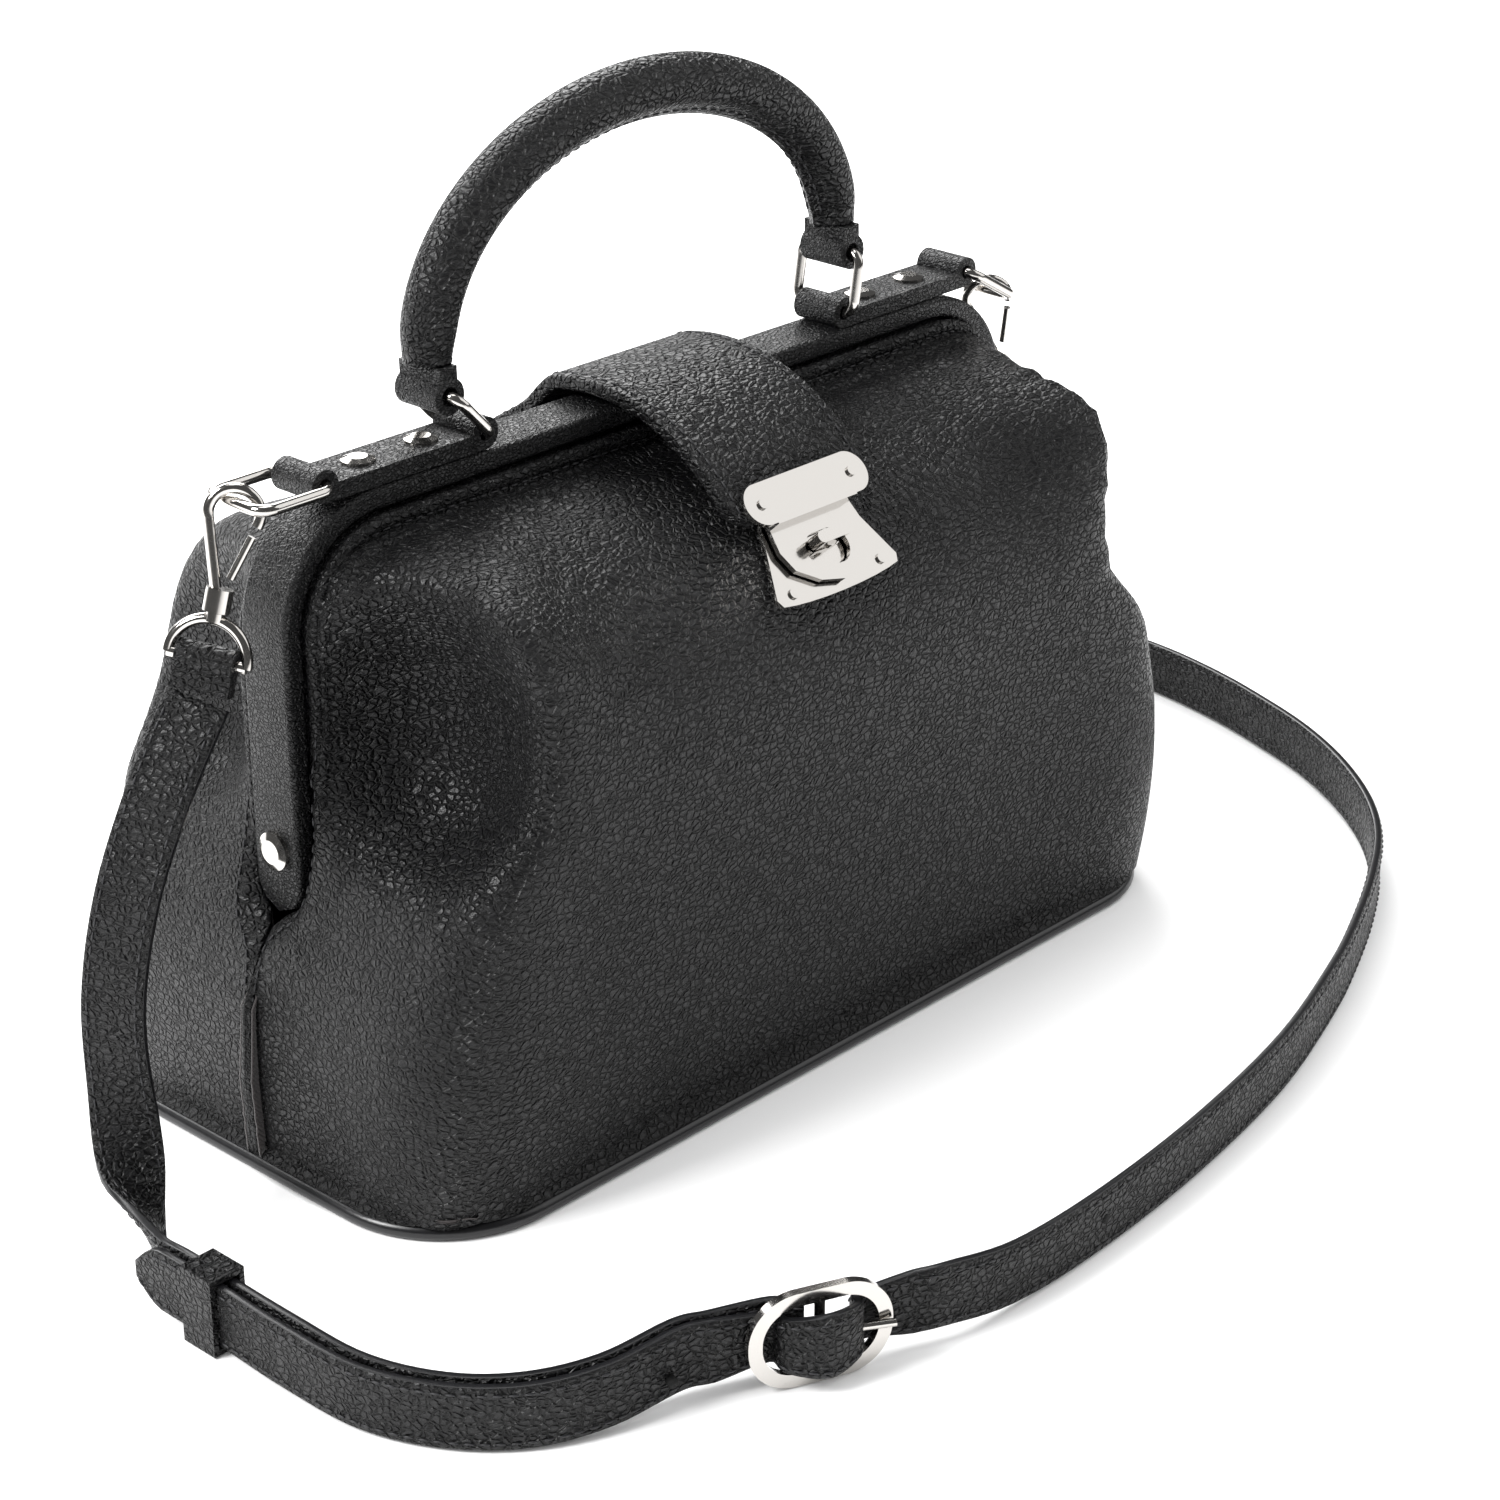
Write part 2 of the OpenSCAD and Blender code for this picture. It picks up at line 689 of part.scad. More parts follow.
// Swivel post and dee; the dee's straight bar carries the strap's end
module hook_dee(side) {
    color("gainsboro") at_hook(side) translate([0, 0, swivel_z]) {
        translate([0, 0, -2.4]) cylinder(h = 2.4, r = 2.4, $fn = 32);
        translate([0, 0, dee_drop]) rotate([0, 0, dee_yaw]) {
            rotate([90, 0, 0]) rotate_extrude(angle = 180, $fn = 64)
                translate([dee_r, 0]) circle(1.5, $fn = 24);
            rotate([0, 90, 0]) cylinder(h = 2 * dee_r, r = 1.5, center = true, $fn = 24);
        }
    }
}

// Folded end of the strap around the dee's bar
module strap_end(side) {
    color("#1b1b1e") at_hook(side) translate([0, 0, swivel_z + dee_drop]) rotate([0, 0, dee_yaw])
        difference() {
            union() {
                rotate([0, 90, 0]) cylinder(h = strap_w - 2.4, r = 4.2, center = true, $fn = 48);
                translate([1.2 - strap_w / 2, -2.6, -8.5]) cube([strap_w - 2.4, 5.2, 6]);
            }
            rotate([0, 90, 0]) cylinder(h = strap_w + 2, r = 1.8, center = true, $fn = 48);
        }
}

module hook_body_left() { hook_body(-1); }
module hook_body_right() { hook_body(1); }
module hook_gate_left() { hook_gate(-1); }
module hook_gate_right() { hook_gate(1); }
module hook_dee_left() { hook_dee(-1); }
module hook_dee_right() { hook_dee(1); }

module strap_end_left() { strap_end(-1); }
module strap_end_right() { strap_end(1); }

// ---------- shoulder strap ----------

buckle_at = [-128, -179];
buckle_yaw = -24;
buckle_z = 13.8;
buckle_bar_r = 1.4;

// Place beside the buckle: x along the strap, y towards the bag
function by_buckle(x, y) = [
    buckle_at[0] + x * cos(buckle_yaw) - y * sin(buckle_yaw),
    buckle_at[1] + x * sin(buckle_yaw) + y * cos(buckle_yaw), buckle_z];

// A station of the strap: its middle, the direction of its width, and its share of full width
function station(p, w, share = 1) = concat(p, w, [share]);

standing = [0, 0, -1];
short_route = [
    station([-167, 0, 143], [0.5, -0.87, 0]),
    station([-181, 0, 122], [0.47, -0.88, 0]),
    station([-194, 0, 96], [0.43, -0.9, 0]),
    station([-201, 0, 68], [0.4, -0.9, -0.1]),
    station([-203, -3, 41], [0.45, -0.8, -0.35]),
    station([-208, -13, 21], [0.5, -0.45, -0.7]),
    station([-215, -32, 12], [0.2, 0, -0.98]),
    station([-217, -48, 11.5], standing),
    station([-217, -86, 10.8], standing),
    station([-215, -110, 9.8], standing),
    station([-207, -130, 9.8], standing),
    station([-194, -144, 10], standing),
    station([-177, -153, 11], standing),
    station(by_buckle(-36, 6.8), standing),
    station(by_buckle(-27, 6.8), standing),
    station(by_buckle(-12, 6.6), standing),
    station(by_buckle(-7, 4.7), standing)];

long_route = [
    station([-221, -30, 11.5], standing, 0.3),
    station([-221, -39, 11.5], standing),
    station([-221, -60, 11.5], standing),
    station([-221, -86, 10.5], standing),
    station([-219, -112, 9.8], standing),
    station([-210, -133, 9.8], standing),
    station([-196, -148, 10], standing),
    station([-179, -157, 11.5], standing),
    station(by_buckle(-36, 3.2), standing),
    station(by_buckle(-27, 3.2), standing),
    station(by_buckle(-12, 3.1), standing, 0.76),
    station(by_buckle(-9, -2.5), standing, 0.86),
    station(by_buckle(0, -6.2), standing),
    station(by_buckle(9, -2.5), standing, 0.86),
    station(by_buckle(12, 3.1), standing, 0.76),
    station(by_buckle(27, 3.2), standing),
    station(by_buckle(36, 3.2), standing),
    station([-70, -194, 10.5], standing),
    station([-34, -194, 9.6], standing),
    station([14, -190, 9.6], standing),
    station([66, -181, 9.6], standing),
    station([112, -167, 9.6], standing),
    station([140, -156, 9.6], standing),
    station([168, -143, 9.6], standing),
    station([194, -128, 9.6], standing),
    station([214, -111, 9.6], standing),
    station([232, -89, 9.6], standing),
    station([246, -65, 9.6], standing),
    station([256, -40, 9.6], standing),
    station([264, -14, 9.6], standing),
    station([269, 14, 9.6], standing),
    station([269, 42, 9.6], standing),
    station([260, 66, 9.8], standing),
    station([242, 80, 11], [0.1, 0.1, -0.98]),
    station([222, 78, 18], [0.3, 0, -0.9]),
    station([207, 66, 34], [0.5, -0.4, -0.6]),
    station([197, 49, 58], [0.5, -0.7, -0.3]),
    station([188, 30, 84], [0.5, -0.85, 0]),
    station([177, 13, 109], [0.5, -0.87, 0]),
    station([164, 1, 130.4], [0.5, -0.87, 0])];

function middle(s) = [s[0], s[1], s[2]];
function along(path, i) =
    unit(middle(path[min(i + 1, len(path) - 1)]) - middle(path[max(i - 1, 0)]));

// Corners of the strap's section, as shares of half its width and half its thickness
strap_corners = [[1, 0.45], [0.92, 1], [-0.92, 1], [-1, 0.45], [-1, -0.45], [-0.92, -1],
    [0.92, -1], [1, -0.45]];
function strap_ring(path, i) = let(
    t = along(path, i), raw = [path[i][3], path[i][4], path[i][5]],
    w = unit(raw - (raw * t) * t), n = cross(t, w))
    [for (c = strap_corners)
        middle(path[i]) + c[0] * path[i][6] * strap_w / 2 * w + c[1] * strap_t / 2 * n];

module flat_strap(route) {
    sides = len(strap_corners);
    last = len(route) - 1;
    polyhedron(
        points = [for (i = [0 : last]) each strap_ring(route, i)],
        faces = concat(
            [[for (j = [0 : sides - 1]) j]],
            [[for (j = [sides - 1 : -1 : 0]) last * sides + j]],
            [for (i = [0 : last - 1]) for (j = [0 : sides - 1]) let(k = (j + 1) % sides)
                each [[i * sides + j, (i + 1) * sides + j, (i + 1) * sides + k],
                    [i * sides + j, (i + 1) * sides + k, i * sides + k]]]));
}

module at_buckle() {
    translate([buckle_at[0], buckle_at[1], buckle_z]) rotate([0, 0, buckle_yaw]) children();
}

// Short piece of the strap: left hook and floor, then its folded end around the buckle's bar
module shoulder_strap_short() {
    color("#1b1b1e") {
        flat_strap(short_route);
        at_buckle() difference() {
            linear_extrude(strap_w, center = true) {
                circle(4, $fn = 40);
                polygon([[-6.41, 6.08], [-7.47, 3.28], [-2.67, 0.86], [-1.33, 3.54]]);
            }
            cylinder(h = strap_w + 2, r = buckle_bar_r + 0.3, center = true, $fn = 40);
            translate([-3, -5, -1.7]) cube([8, 10, 3.4]);
        }
    }
}

// Adjusting holes in the long piece: place and direction of the strap there
strap_holes = [[-217.6, -115, -72], [-197, -147, -38], [-163.5, -162.4, -22],
    [-90, -191.2, -10], [-34, -194, 0]];

// Long piece of the strap: pointed tip, keeper, buckle, then along the floor to the right hook
module shoulder_strap_long() {
    color("#1b1b1e") difference() {
        flat_strap(long_route);
        at_buckle() translate([3, -9, -1.8]) cube([12, 14, 3.6]);
        for (h = strap_holes) translate([h[0], h[1], 10]) rotate([90, 0, h[2]])
            cylinder(h = 5, r = 1.4, center = true, $fn = 24);
    }
}

module strap_keeper() {
    color("#1b1b1e") translate([-219, -57, 11.5]) difference() {
        cube([11, 12, 22], center = true);
        cube([8, 14, strap_w + 0.8], center = true);
    }
}

module buckle_frame() {
    color("gainsboro") at_buckle() {
        rotate([90, 0, 0]) linear_extrude(2.4, center = true) difference() {
            round_box_2d(19.5, 13.5, 13);
            round_box_2d(15.7, 9.8, 9.3);
        }
        cylinder(h = 22, r = buckle_bar_r, center = true, $fn = 32);
    }
}

module buckle_prong() {
    prong_len = 19.6;
    prong_dip = -9.5;
    color("gainsboro") at_buckle() difference() {
        union() {
            cylinder(h = 2.6, r = 2.9, center = true, $fn = 40);
            rotate([0, 0, prong_dip]) rotate([0, 90, 0])
                cylinder(h = prong_len, r = 1.1, $fn = 24);
        }
        cylinder(h = 4, r = buckle_bar_r + 0.2, center = true, $fn = 40);
    }
}

bottom_panel();
base_board();
base_piping();
front_panel_lower();
front_panel_upper();
back_panel();
lining_back();
lining_front();
back_frame_bar();
back_frame_cover();
front_frame_bar();
front_frame_cover();
front_welt();
back_welt();
hinge_rivet_left();
hinge_rivet_right();
top_strap_left();
top_strap_right();
strap_rivets();
handle_ring_left();
handle_ring_right();
handle_tab_left();
handle_tab_right();
handle_grip();
handle_core();
side_ring_left();
side_ring_right();
flap_root();
flap_end();
hasp_plate();
hasp_screws();
lock_base();
lock_screws();
lock_backing();
turn_knob();
hook_body_left();
hook_body_right();
hook_gate_left();
hook_gate_right();
hook_dee_left();
hook_dee_right();
strap_end_left();
strap_end_right();
shoulder_strap_short();
shoulder_strap_long();
strap_keeper();
buckle_frame();
buckle_prong();
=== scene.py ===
import math

import bmesh
import bpy
import numpy as np
from mathutils import Matrix, Vector


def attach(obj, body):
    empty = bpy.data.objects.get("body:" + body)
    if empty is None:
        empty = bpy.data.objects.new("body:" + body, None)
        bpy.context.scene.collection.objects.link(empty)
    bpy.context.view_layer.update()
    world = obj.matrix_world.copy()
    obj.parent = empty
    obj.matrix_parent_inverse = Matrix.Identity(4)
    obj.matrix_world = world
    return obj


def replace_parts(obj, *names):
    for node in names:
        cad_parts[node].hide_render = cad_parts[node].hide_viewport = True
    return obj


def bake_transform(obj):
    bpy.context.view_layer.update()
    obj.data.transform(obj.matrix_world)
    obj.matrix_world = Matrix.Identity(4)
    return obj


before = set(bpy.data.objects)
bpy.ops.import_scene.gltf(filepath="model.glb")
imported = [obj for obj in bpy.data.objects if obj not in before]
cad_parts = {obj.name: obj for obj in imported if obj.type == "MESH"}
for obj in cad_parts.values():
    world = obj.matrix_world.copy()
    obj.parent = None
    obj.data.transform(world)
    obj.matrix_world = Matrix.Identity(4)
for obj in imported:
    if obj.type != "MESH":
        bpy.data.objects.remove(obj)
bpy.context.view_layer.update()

bl_info = {
    "name": "Doctor bag",
    "version": (1, 0, 0),
    "blender": (4, 5, 0),
    "location": "View3D > Sidebar > Doctor bag",
    "description": "Builds the leather, straps, stitching, metal and stage of a doctor bag",
    "category": "Object",
}

MM = 0.001

# Body, in millimetres
HALF_L, HALF_D = 161.0, 80.0
PLAN_R = 36.0
SHOULDER_Z, CROWN_Z = 105.0, 179.0
BASE_Z = 4.7
JAW_R = 34.0
BULGE, BASE_TUCK = 2.5, 4.2
PLAN_BLEND, SIDE_BLEND = 14, 16
MIDDLE_Z = 84.0
CENTRE_SHARE = 0.42
SKIN_DEPTHS, LINING_DEPTHS = (0, 2.2), (2.5, 3.1)
END_HEIGHTS = [0, 4.7, 16, 28, 40, 50, 66, 76, 86, 100, 300]
END_REACH = [159, 159.5, 160.5, 161, 160.6, 159.5, 154.5, 149.5, 145.5, 143, 142]

# Soft hollow beside each jaw leg, and the pillow over it, in millimetres
HOLLOW_X, HOLLOW_Y, HOLLOW_Z = 146, 47, 135
HOLLOW_LEAST, HOLLOW_SPAN_Y, HOLLOW_SPAN_Z = 10, 33, 37
HOLLOW_POWER, HOLLOW_STEEP, HOLLOW_BLEND = 2.4, 28.0, 13
PILLOW_Y, PILLOW_Z, PILLOW_RISE = 66, 158, 5.0
RIM_SIZE, RIM_SPREAD, RIM_CREASE = 1.22, 0.17, 0.7
YOKE_RISE = 0.9
GATHER_PITCH = 6.1

# Frame, in millimetres
OUTER_MID, OUTER_TOP, OUTER_R, OUTER_T = 142.0, 184.0, 31.0, 6.0
INNER_MID, INNER_TOP, INNER_R, INNER_T = 134.5, 176.1, 23.5, 7.0
OUTER_Y, INNER_Y = (-9, 9), (-9.6, 6)
FOOT_Z = 74.0
WELT_FOOT, WELT_STEP, WELT_R, WELT_RIPPLE, WELT_PITCH = 80, 0.9, 2.0, 0.07, 2.9

# Flap, in millimetres
FLAP_Y, FLAP_Z, FLAP_MID_R, FLAP_T, FLAP_W = -3.0, 127.0, 65.2, 4.4, 56.0
FLAP_FRONT_A, FLAP_BACK_A = 34.6, 104
FLAP_TAIL = [(16.8, 187.0), (22, 181.6), (28, 177.2), (35.6, 172.6), (44, 166.4)]
FLAP_SEAM_INSET = 3.2

# Handle, in millimetres
LEFT_PIVOT = np.array([-84.276, 204.964])
RIGHT_PIVOT = np.array([75.126, 209.527])
GRIP_RISE, GRIP_FOOT = 56.0, 8.0
GRIP_R, GRIP_STATIONS, GRIP_SIDES = 7.6, 150, 40

# Buckle
BUCKLE = (-128.0, -179.0, 13.8)
BUCKLE_YAW = math.radians(-24)


def by_buckle(x, y):
    """Point beside the buckle: x along the strap, y towards the bag."""
    c, s = math.cos(BUCKLE_YAW), math.sin(BUCKLE_YAW)
    return (BUCKLE[0] + x * c - y * s, BUCKLE[1] + x * s + y * c, BUCKLE[2])


DOWN = (0, 0, -1)

# Stations of the strap: middle, direction of its width, share of full width
SHORT_ROUTE = [
    ((-167, 0, 143), (0.5, -0.87, 0), 1),
    ((-181, 0, 122), (0.47, -0.88, 0), 1),
    ((-194, 0, 96), (0.43, -0.9, 0), 1),
    ((-201, 0, 68), (0.4, -0.9, -0.1), 1),
    ((-203, -3, 41), (0.45, -0.8, -0.35), 1),
    ((-208, -13, 21), (0.5, -0.45, -0.7), 1),
    ((-215, -32, 12), (0.2, 0, -0.98), 1),
    ((-217, -48, 11.5), DOWN, 1),
    ((-217, -86, 10.8), DOWN, 1),
    ((-215, -110, 9.8), DOWN, 1),
    ((-207, -130, 9.8), DOWN, 1),
    ((-194, -144, 10), DOWN, 1),
    ((-177, -153, 11), DOWN, 1),
    (by_buckle(-36, 6.8), DOWN, 1),
    (by_buckle(-27, 6.8), DOWN, 1),
    (by_buckle(-12, 6.6), DOWN, 1),
    (by_buckle(-7, 4.7), DOWN, 1),
    (by_buckle(-3, 2.7), DOWN, 1),
]
LONG_ROUTE = [
    ((-221, -30, 11.5), DOWN, 0.3),
    ((-221, -39, 11.5), DOWN, 1),
    ((-221, -60, 11.5), DOWN, 1),
    ((-221, -86, 10.5), DOWN, 1),
    ((-219, -112, 9.8), DOWN, 1),
    ((-210, -133, 9.8), DOWN, 1),
    ((-196, -148, 10), DOWN, 1),
    ((-179, -157, 11.5), DOWN, 1),
    (by_buckle(-36, 3.2), DOWN, 1),
    (by_buckle(-27, 3.2), DOWN, 1),
    (by_buckle(-12, 3.1), DOWN, 0.76),
    (by_buckle(-9, -2.5), DOWN, 0.86),
    (by_buckle(0, -6.2), DOWN, 1),
    (by_buckle(9, -2.5), DOWN, 0.86),
    (by_buckle(12, 3.1), DOWN, 0.76),
    (by_buckle(27, 3.2), DOWN, 1),
    (by_buckle(36, 3.2), DOWN, 1),
    ((-70, -194, 10.5), DOWN, 1),
    ((-34, -194, 9.6), DOWN, 1),
    ((14, -190, 9.6), DOWN, 1),
    ((66, -181, 9.6), DOWN, 1),
    ((112, -167, 9.6), DOWN, 1),
    ((140, -156, 9.6), DOWN, 1),
    ((168, -143, 9.6), DOWN, 1),
    ((194, -128, 9.6), DOWN, 1),
    ((214, -111, 9.6), DOWN, 1),
    ((232, -89, 9.6), DOWN, 1),
    ((246, -65, 9.6), DOWN, 1),
    ((256, -40, 9.6), DOWN, 1),
    ((264, -14, 9.6), DOWN, 1),
    ((269, 14, 9.6), DOWN, 1),
    ((269, 42, 9.6), DOWN, 1),
    ((260, 66, 9.8), DOWN, 1),
    ((242, 80, 11), (0.1, 0.1, -0.98), 1),
    ((222, 78, 18), (0.3, 0, -0.9), 1),
    ((207, 66, 34), (0.5, -0.4, -0.6), 1),
    ((197, 49, 58), (0.5, -0.7, -0.3), 1),
    ((188, 30, 84), (0.5, -0.85, 0), 1),
    ((177, 13, 109), (0.5, -0.87, 0), 1),
    ((164, 1, 130.4), (0.5, -0.87, 0), 1),
]
STRAP_HALF, STRAP_THICK = 9.0, 3.0
SEAM_INSET = 2.1
HOLE_MIDDLE_Z, HOLE_R, HOLE_SIDES, HOLE_DEPTH = 10.0, 1.45, 20, 3.24
# Punched holes: x, y and the turn of the strap there in degrees
STRAP_HOLES = [
    (-217.6, -115, -72), (-197, -147, -38), (-163.5, -162.4, -22), (-90, -191.2, -10),
    (-34, -194, 0),
]


# ---------- settings ----------


class BagSettings(bpy.types.PropertyGroup):
    grain: bpy.props.FloatProperty(
        name="Grain size", description="Size of the leather's pebbles", default=0.0021,
        unit="LENGTH",
    )
    relief: bpy.props.FloatProperty(
        name="Grain relief", description="Depth of the leather's grain", default=0.0011,
        unit="LENGTH",
    )
    dimple: bpy.props.FloatProperty(
        name="Dimple", description="Depth of the soft hollows beside the jaws", default=0.026,
        unit="LENGTH",
    )
    pitch: bpy.props.FloatProperty(
        name="Stitch pitch", description="Distance from stitch to stitch", default=0.0038,
        unit="LENGTH",
    )
    polish: bpy.props.FloatProperty(
        name="Metal roughness", description="Roughness of the nickel plating", default=0.13,
        subtype="FACTOR", min=0.02, max=0.6,
    )


# ---------- small tools ----------


# Lines that the stitching follows, by the piece that leaves them
PATHS = {}


def smooth_step(lo, hi, v):
    t = np.clip((v - lo) / (hi - lo), 0, 1)
    return t * t * (3 - 2 * t)


def unit(v):
    return v / np.maximum(np.linalg.norm(v, axis=-1, keepdims=True), 1e-9)


def make_object(name, points, faces, material, extra=()):
    """Object from points in millimetres; extra is pairs of a material and the faces that get it."""
    mesh = bpy.data.meshes.new(name)
    pts = (np.asarray(points, float).reshape(-1, 3) * MM).tolist()
    mesh.from_pydata(pts, [], [list(map(int, f)) for f in faces])
    bm = bmesh.new()
    bm.from_mesh(mesh)
    bmesh.ops.recalc_face_normals(bm, faces=bm.faces)
    bm.to_mesh(mesh)
    bm.free()
    mesh.materials.append(material)
    for other, wanted in extra:
        mesh.materials.append(other)
        index = len(mesh.materials) - 1
        for k in wanted:
            mesh.polygons[k].material_index = index
    mesh.polygons.foreach_set("use_smooth", [True] * len(mesh.polygons))
    mesh.update()
    obj = bpy.data.objects.new(name, mesh)
    bpy.context.scene.collection.objects.link(obj)
    return obj


def tube_faces(rings, sides, capped=True):
    faces = []
    for i in range(rings - 1):
        low, high = i * sides, (i + 1) * sides
        for j in range(sides):
            after = (j + 1) % sides
            faces.append([low + j, high + j, high + after, low + after])
    if capped:
        faces.append(list(range(sides))[::-1])
        faces.append([(rings - 1) * sides + j for j in range(sides)])
    return faces


def sweep(path, across, normal, section):
    """Rings of points: section's first number runs across the path, its second along normal."""
    section = np.broadcast_to(section, (len(path),) + np.shape(section)[-2:])
    return (path[:, None] + section[..., :1] * across[:, None] + section[..., 1:] * normal[:, None])


def rounded(hx, hy, r, steps=4):
    """Corner-rounded rectangle with half sizes hx and hy."""
    out = []
    for k, (sx, sy) in enumerate(((1, 1), (-1, 1), (-1, -1), (1, -1))):
        for i in range(steps + 1):
            a = math.radians(90 * (k + i / steps))
            out.append((sx * (hx - r) + r * math.cos(a), sy * (hy - r) + r * math.sin(a)))
    return np.array(out)


def spline(rows, steps):
    """Catmull-Rom curve through rows of numbers."""
    rows = np.asarray(rows, float)
    n = len(rows) - 1
    out = []
    for i in range(n):
        a, b, c, d = rows[max(i - 1, 0)], rows[i], rows[i + 1], rows[min(i + 2, n)]
        for k in range(steps):
            t = k / steps
            out.append(0.5 * (2 * b + (c - a) * t + (2 * a - 5 * b + 4 * c - d) * t * t
                              + (3 * b - a - 3 * c + d) * t ** 3))
    out.append(rows[n])
    return np.array(out)


def resample(path, spacing=None, count=None):
    """Points evenly spaced along a path, and their distance from its start."""
    path = np.asarray(path, float)
    s = np.concatenate([[0], np.cumsum(np.linalg.norm(np.diff(path[:, :3], axis=0), axis=1))])
    count = count or max(2, int(round(s[-1] / spacing)) + 1)
    at = np.linspace(0, s[-1], count)
    return np.stack([np.interp(at, s, path[:, k]) for k in range(path.shape[1])], 1), at


def arch_line(half, top, r, foot, spacing):
    """Points (x, z) up one leg, round and down the other, with their outward normals."""
    legs = [(-half, foot), (-half, top - r)]
    left = [(-half + r - r * math.cos(a), top - r + r * math.sin(a)) for a in np.radians(np.arange(3, 91, 3))]
    line = legs + left
    line += [(-x, z) for x, z in reversed(line)]
    flat, s = resample(np.array([(x, 0, z) for x, z in line], float), spacing)
    tangent = unit(np.gradient(flat, axis=0))
    normal = np.stack([-tangent[:, 2], np.zeros(len(flat)), tangent[:, 0]], 1)
    return flat, normal, s


# ---------- materials ----------


class Nodes:
    """Short way to build a node tree: add a node, set its inputs, link others into it."""

    def __init__(self, tree):
        self.tree = tree

    def add(self, kind, values=(), **props):
        node = self.tree.nodes.new(kind)
        for key, value in props.items():
            setattr(node, key, value)
        for key, value in dict(values).items():
            if isinstance(value, bpy.types.NodeSocket):
                self.tree.links.new(value, node.inputs[key])
            else:
                node.inputs[key].default_value = value
        return node


def new_material(name):
    material = bpy.data.materials.new(name)
    material.use_nodes = True
    material.node_tree.nodes.clear()
    return material, Nodes(material.node_tree)


def leather(name, colour, roughness, size, relief, crease=0.5):
    """Grained leather: pebbles between fine creases, with longer folds over them."""
    material, n = new_material(name)
    local = n.add("ShaderNodeTexCoord").outputs["Object"]
    squeeze = n.add("ShaderNodeVectorMath", {0: local, 1: (0.82, 0.95, 1.2)}, operation="MULTIPLY")
    place = squeeze.outputs[0]
    bend = n.add("ShaderNodeTexNoise", {"Vector": place, "Scale": 0.45 / size, "Detail": 2.0})
    middle = {0: bend.outputs["Color"], 1: (0.5, 0.5, 0.5)}
    shift = n.add("ShaderNodeVectorMath", middle, operation="SUBTRACT")
    scaled = n.add("ShaderNodeVectorMath", {0: shift.outputs[0], "Scale": size * 1.6}, operation="SCALE")
    moved = n.add("ShaderNodeVectorMath", {0: place, 1: scaled.outputs[0]}, operation="ADD")
    cells = n.add("ShaderNodeTexVoronoi", {
        "Vector": moved.outputs[0], "Scale": 1 / size, "Randomness": 0.95}, feature="DISTANCE_TO_EDGE")
    pebble = n.add("ShaderNodeMapRange", {
        "Value": cells.outputs["Distance"], "From Min": 0.0, "From Max": 0.22, "To Min": 0.0,
        "To Max": 1.0}, interpolation_type="SMOOTHSTEP")
    fine = n.add("ShaderNodeTexNoise", {"Vector": place, "Scale": 2.6 / size, "Detail": 3.0})
    folds = n.add("ShaderNodeTexNoise", {
        "Vector": place, "Scale": 0.12 / size, "Detail": 4.0, "Distortion": 1.2})
    fold = n.add("ShaderNodeMath", {0: folds.outputs["Fac"], 1: crease * 2}, operation="MULTIPLY")
    grain = n.add("ShaderNodeMath", {0: fine.outputs["Fac"], 1: 0.3, 2: pebble.outputs["Result"]},
                  operation="MULTIPLY_ADD")
    height = n.add("ShaderNodeMath", {0: grain.outputs[0], 1: fold.outputs[0]}, operation="ADD")
    bump = n.add("ShaderNodeBump", {"Height": height.outputs[0], "Distance": relief, "Strength": 1.0})
    # Colour in the creases between pebbles drops to 0.45 of the base: painted shade in the creases.
    crease_shade = (*[c * 0.45 for c in colour], 1)
    shaded_colour = n.add("ShaderNodeMix", {
        "Factor": pebble.outputs["Result"], 6: crease_shade, 7: (*colour, 1)}, data_type="RGBA")
    rough = n.add("ShaderNodeMapRange", {
        "Value": pebble.outputs["Result"], "To Min": min(1, roughness + 0.2), "To Max": roughness})
    shader = n.add("ShaderNodeBsdfPrincipled", {
        "Base Color": shaded_colour.outputs[2], "Roughness": rough.outputs["Result"],
        "Normal": bump.outputs["Normal"], "IOR": 1.5, "Specular IOR Level": 0.34,
    })
    n.add("ShaderNodeOutputMaterial", {"Surface": shader.outputs[0]})
    return material


def plain(name, colour, roughness, metallic=0.0, noise=0.0, scale=900.0, relief=0.0001):
    """Even material with a little unevenness in its gloss."""
    material, n = new_material(name)
    place = n.add("ShaderNodeTexCoord").outputs["Object"]
    grit = n.add("ShaderNodeTexNoise", {"Vector": place, "Scale": scale, "Detail": 3.0})
    rough = n.add("ShaderNodeMapRange", {"Value": grit.outputs["Fac"], "To Min": roughness * 0.85,
                                         "To Max": min(1, roughness * 1.15)})
    values = {"Base Color": (*colour, 1), "Roughness": rough.outputs["Result"], "Metallic": metallic}
    if noise:
        bump = n.add("ShaderNodeBump", {"Height": grit.outputs["Fac"], "Distance": relief, "Strength": noise})
        values["Normal"] = bump.outputs["Normal"]
    shader = n.add("ShaderNodeBsdfPrincipled", values)
    n.add("ShaderNodeOutputMaterial", {"Surface": shader.outputs[0]})
    return material


def twill(name, colour):
    """Woven lining cloth with a diagonal rib."""
    material, n = new_material(name)
    place = n.add("ShaderNodeTexCoord").outputs["Object"]
    ribs = n.add("ShaderNodeTexWave", {"Vector": place, "Scale": 420.0, "Distortion": 0.6},
                 wave_type="BANDS", bands_direction="DIAGONAL")
    bump = n.add("ShaderNodeBump", {"Height": ribs.outputs["Fac"], "Distance": 0.0002, "Strength": 0.7})
    shader = n.add("ShaderNodeBsdfPrincipled", {
        "Base Color": (*colour, 1), "Roughness": 0.9, "Normal": bump.outputs["Normal"], "Sheen Weight": 0.2})
    n.add("ShaderNodeOutputMaterial", {"Surface": shader.outputs[0]})
    return material


MATERIALS = {}


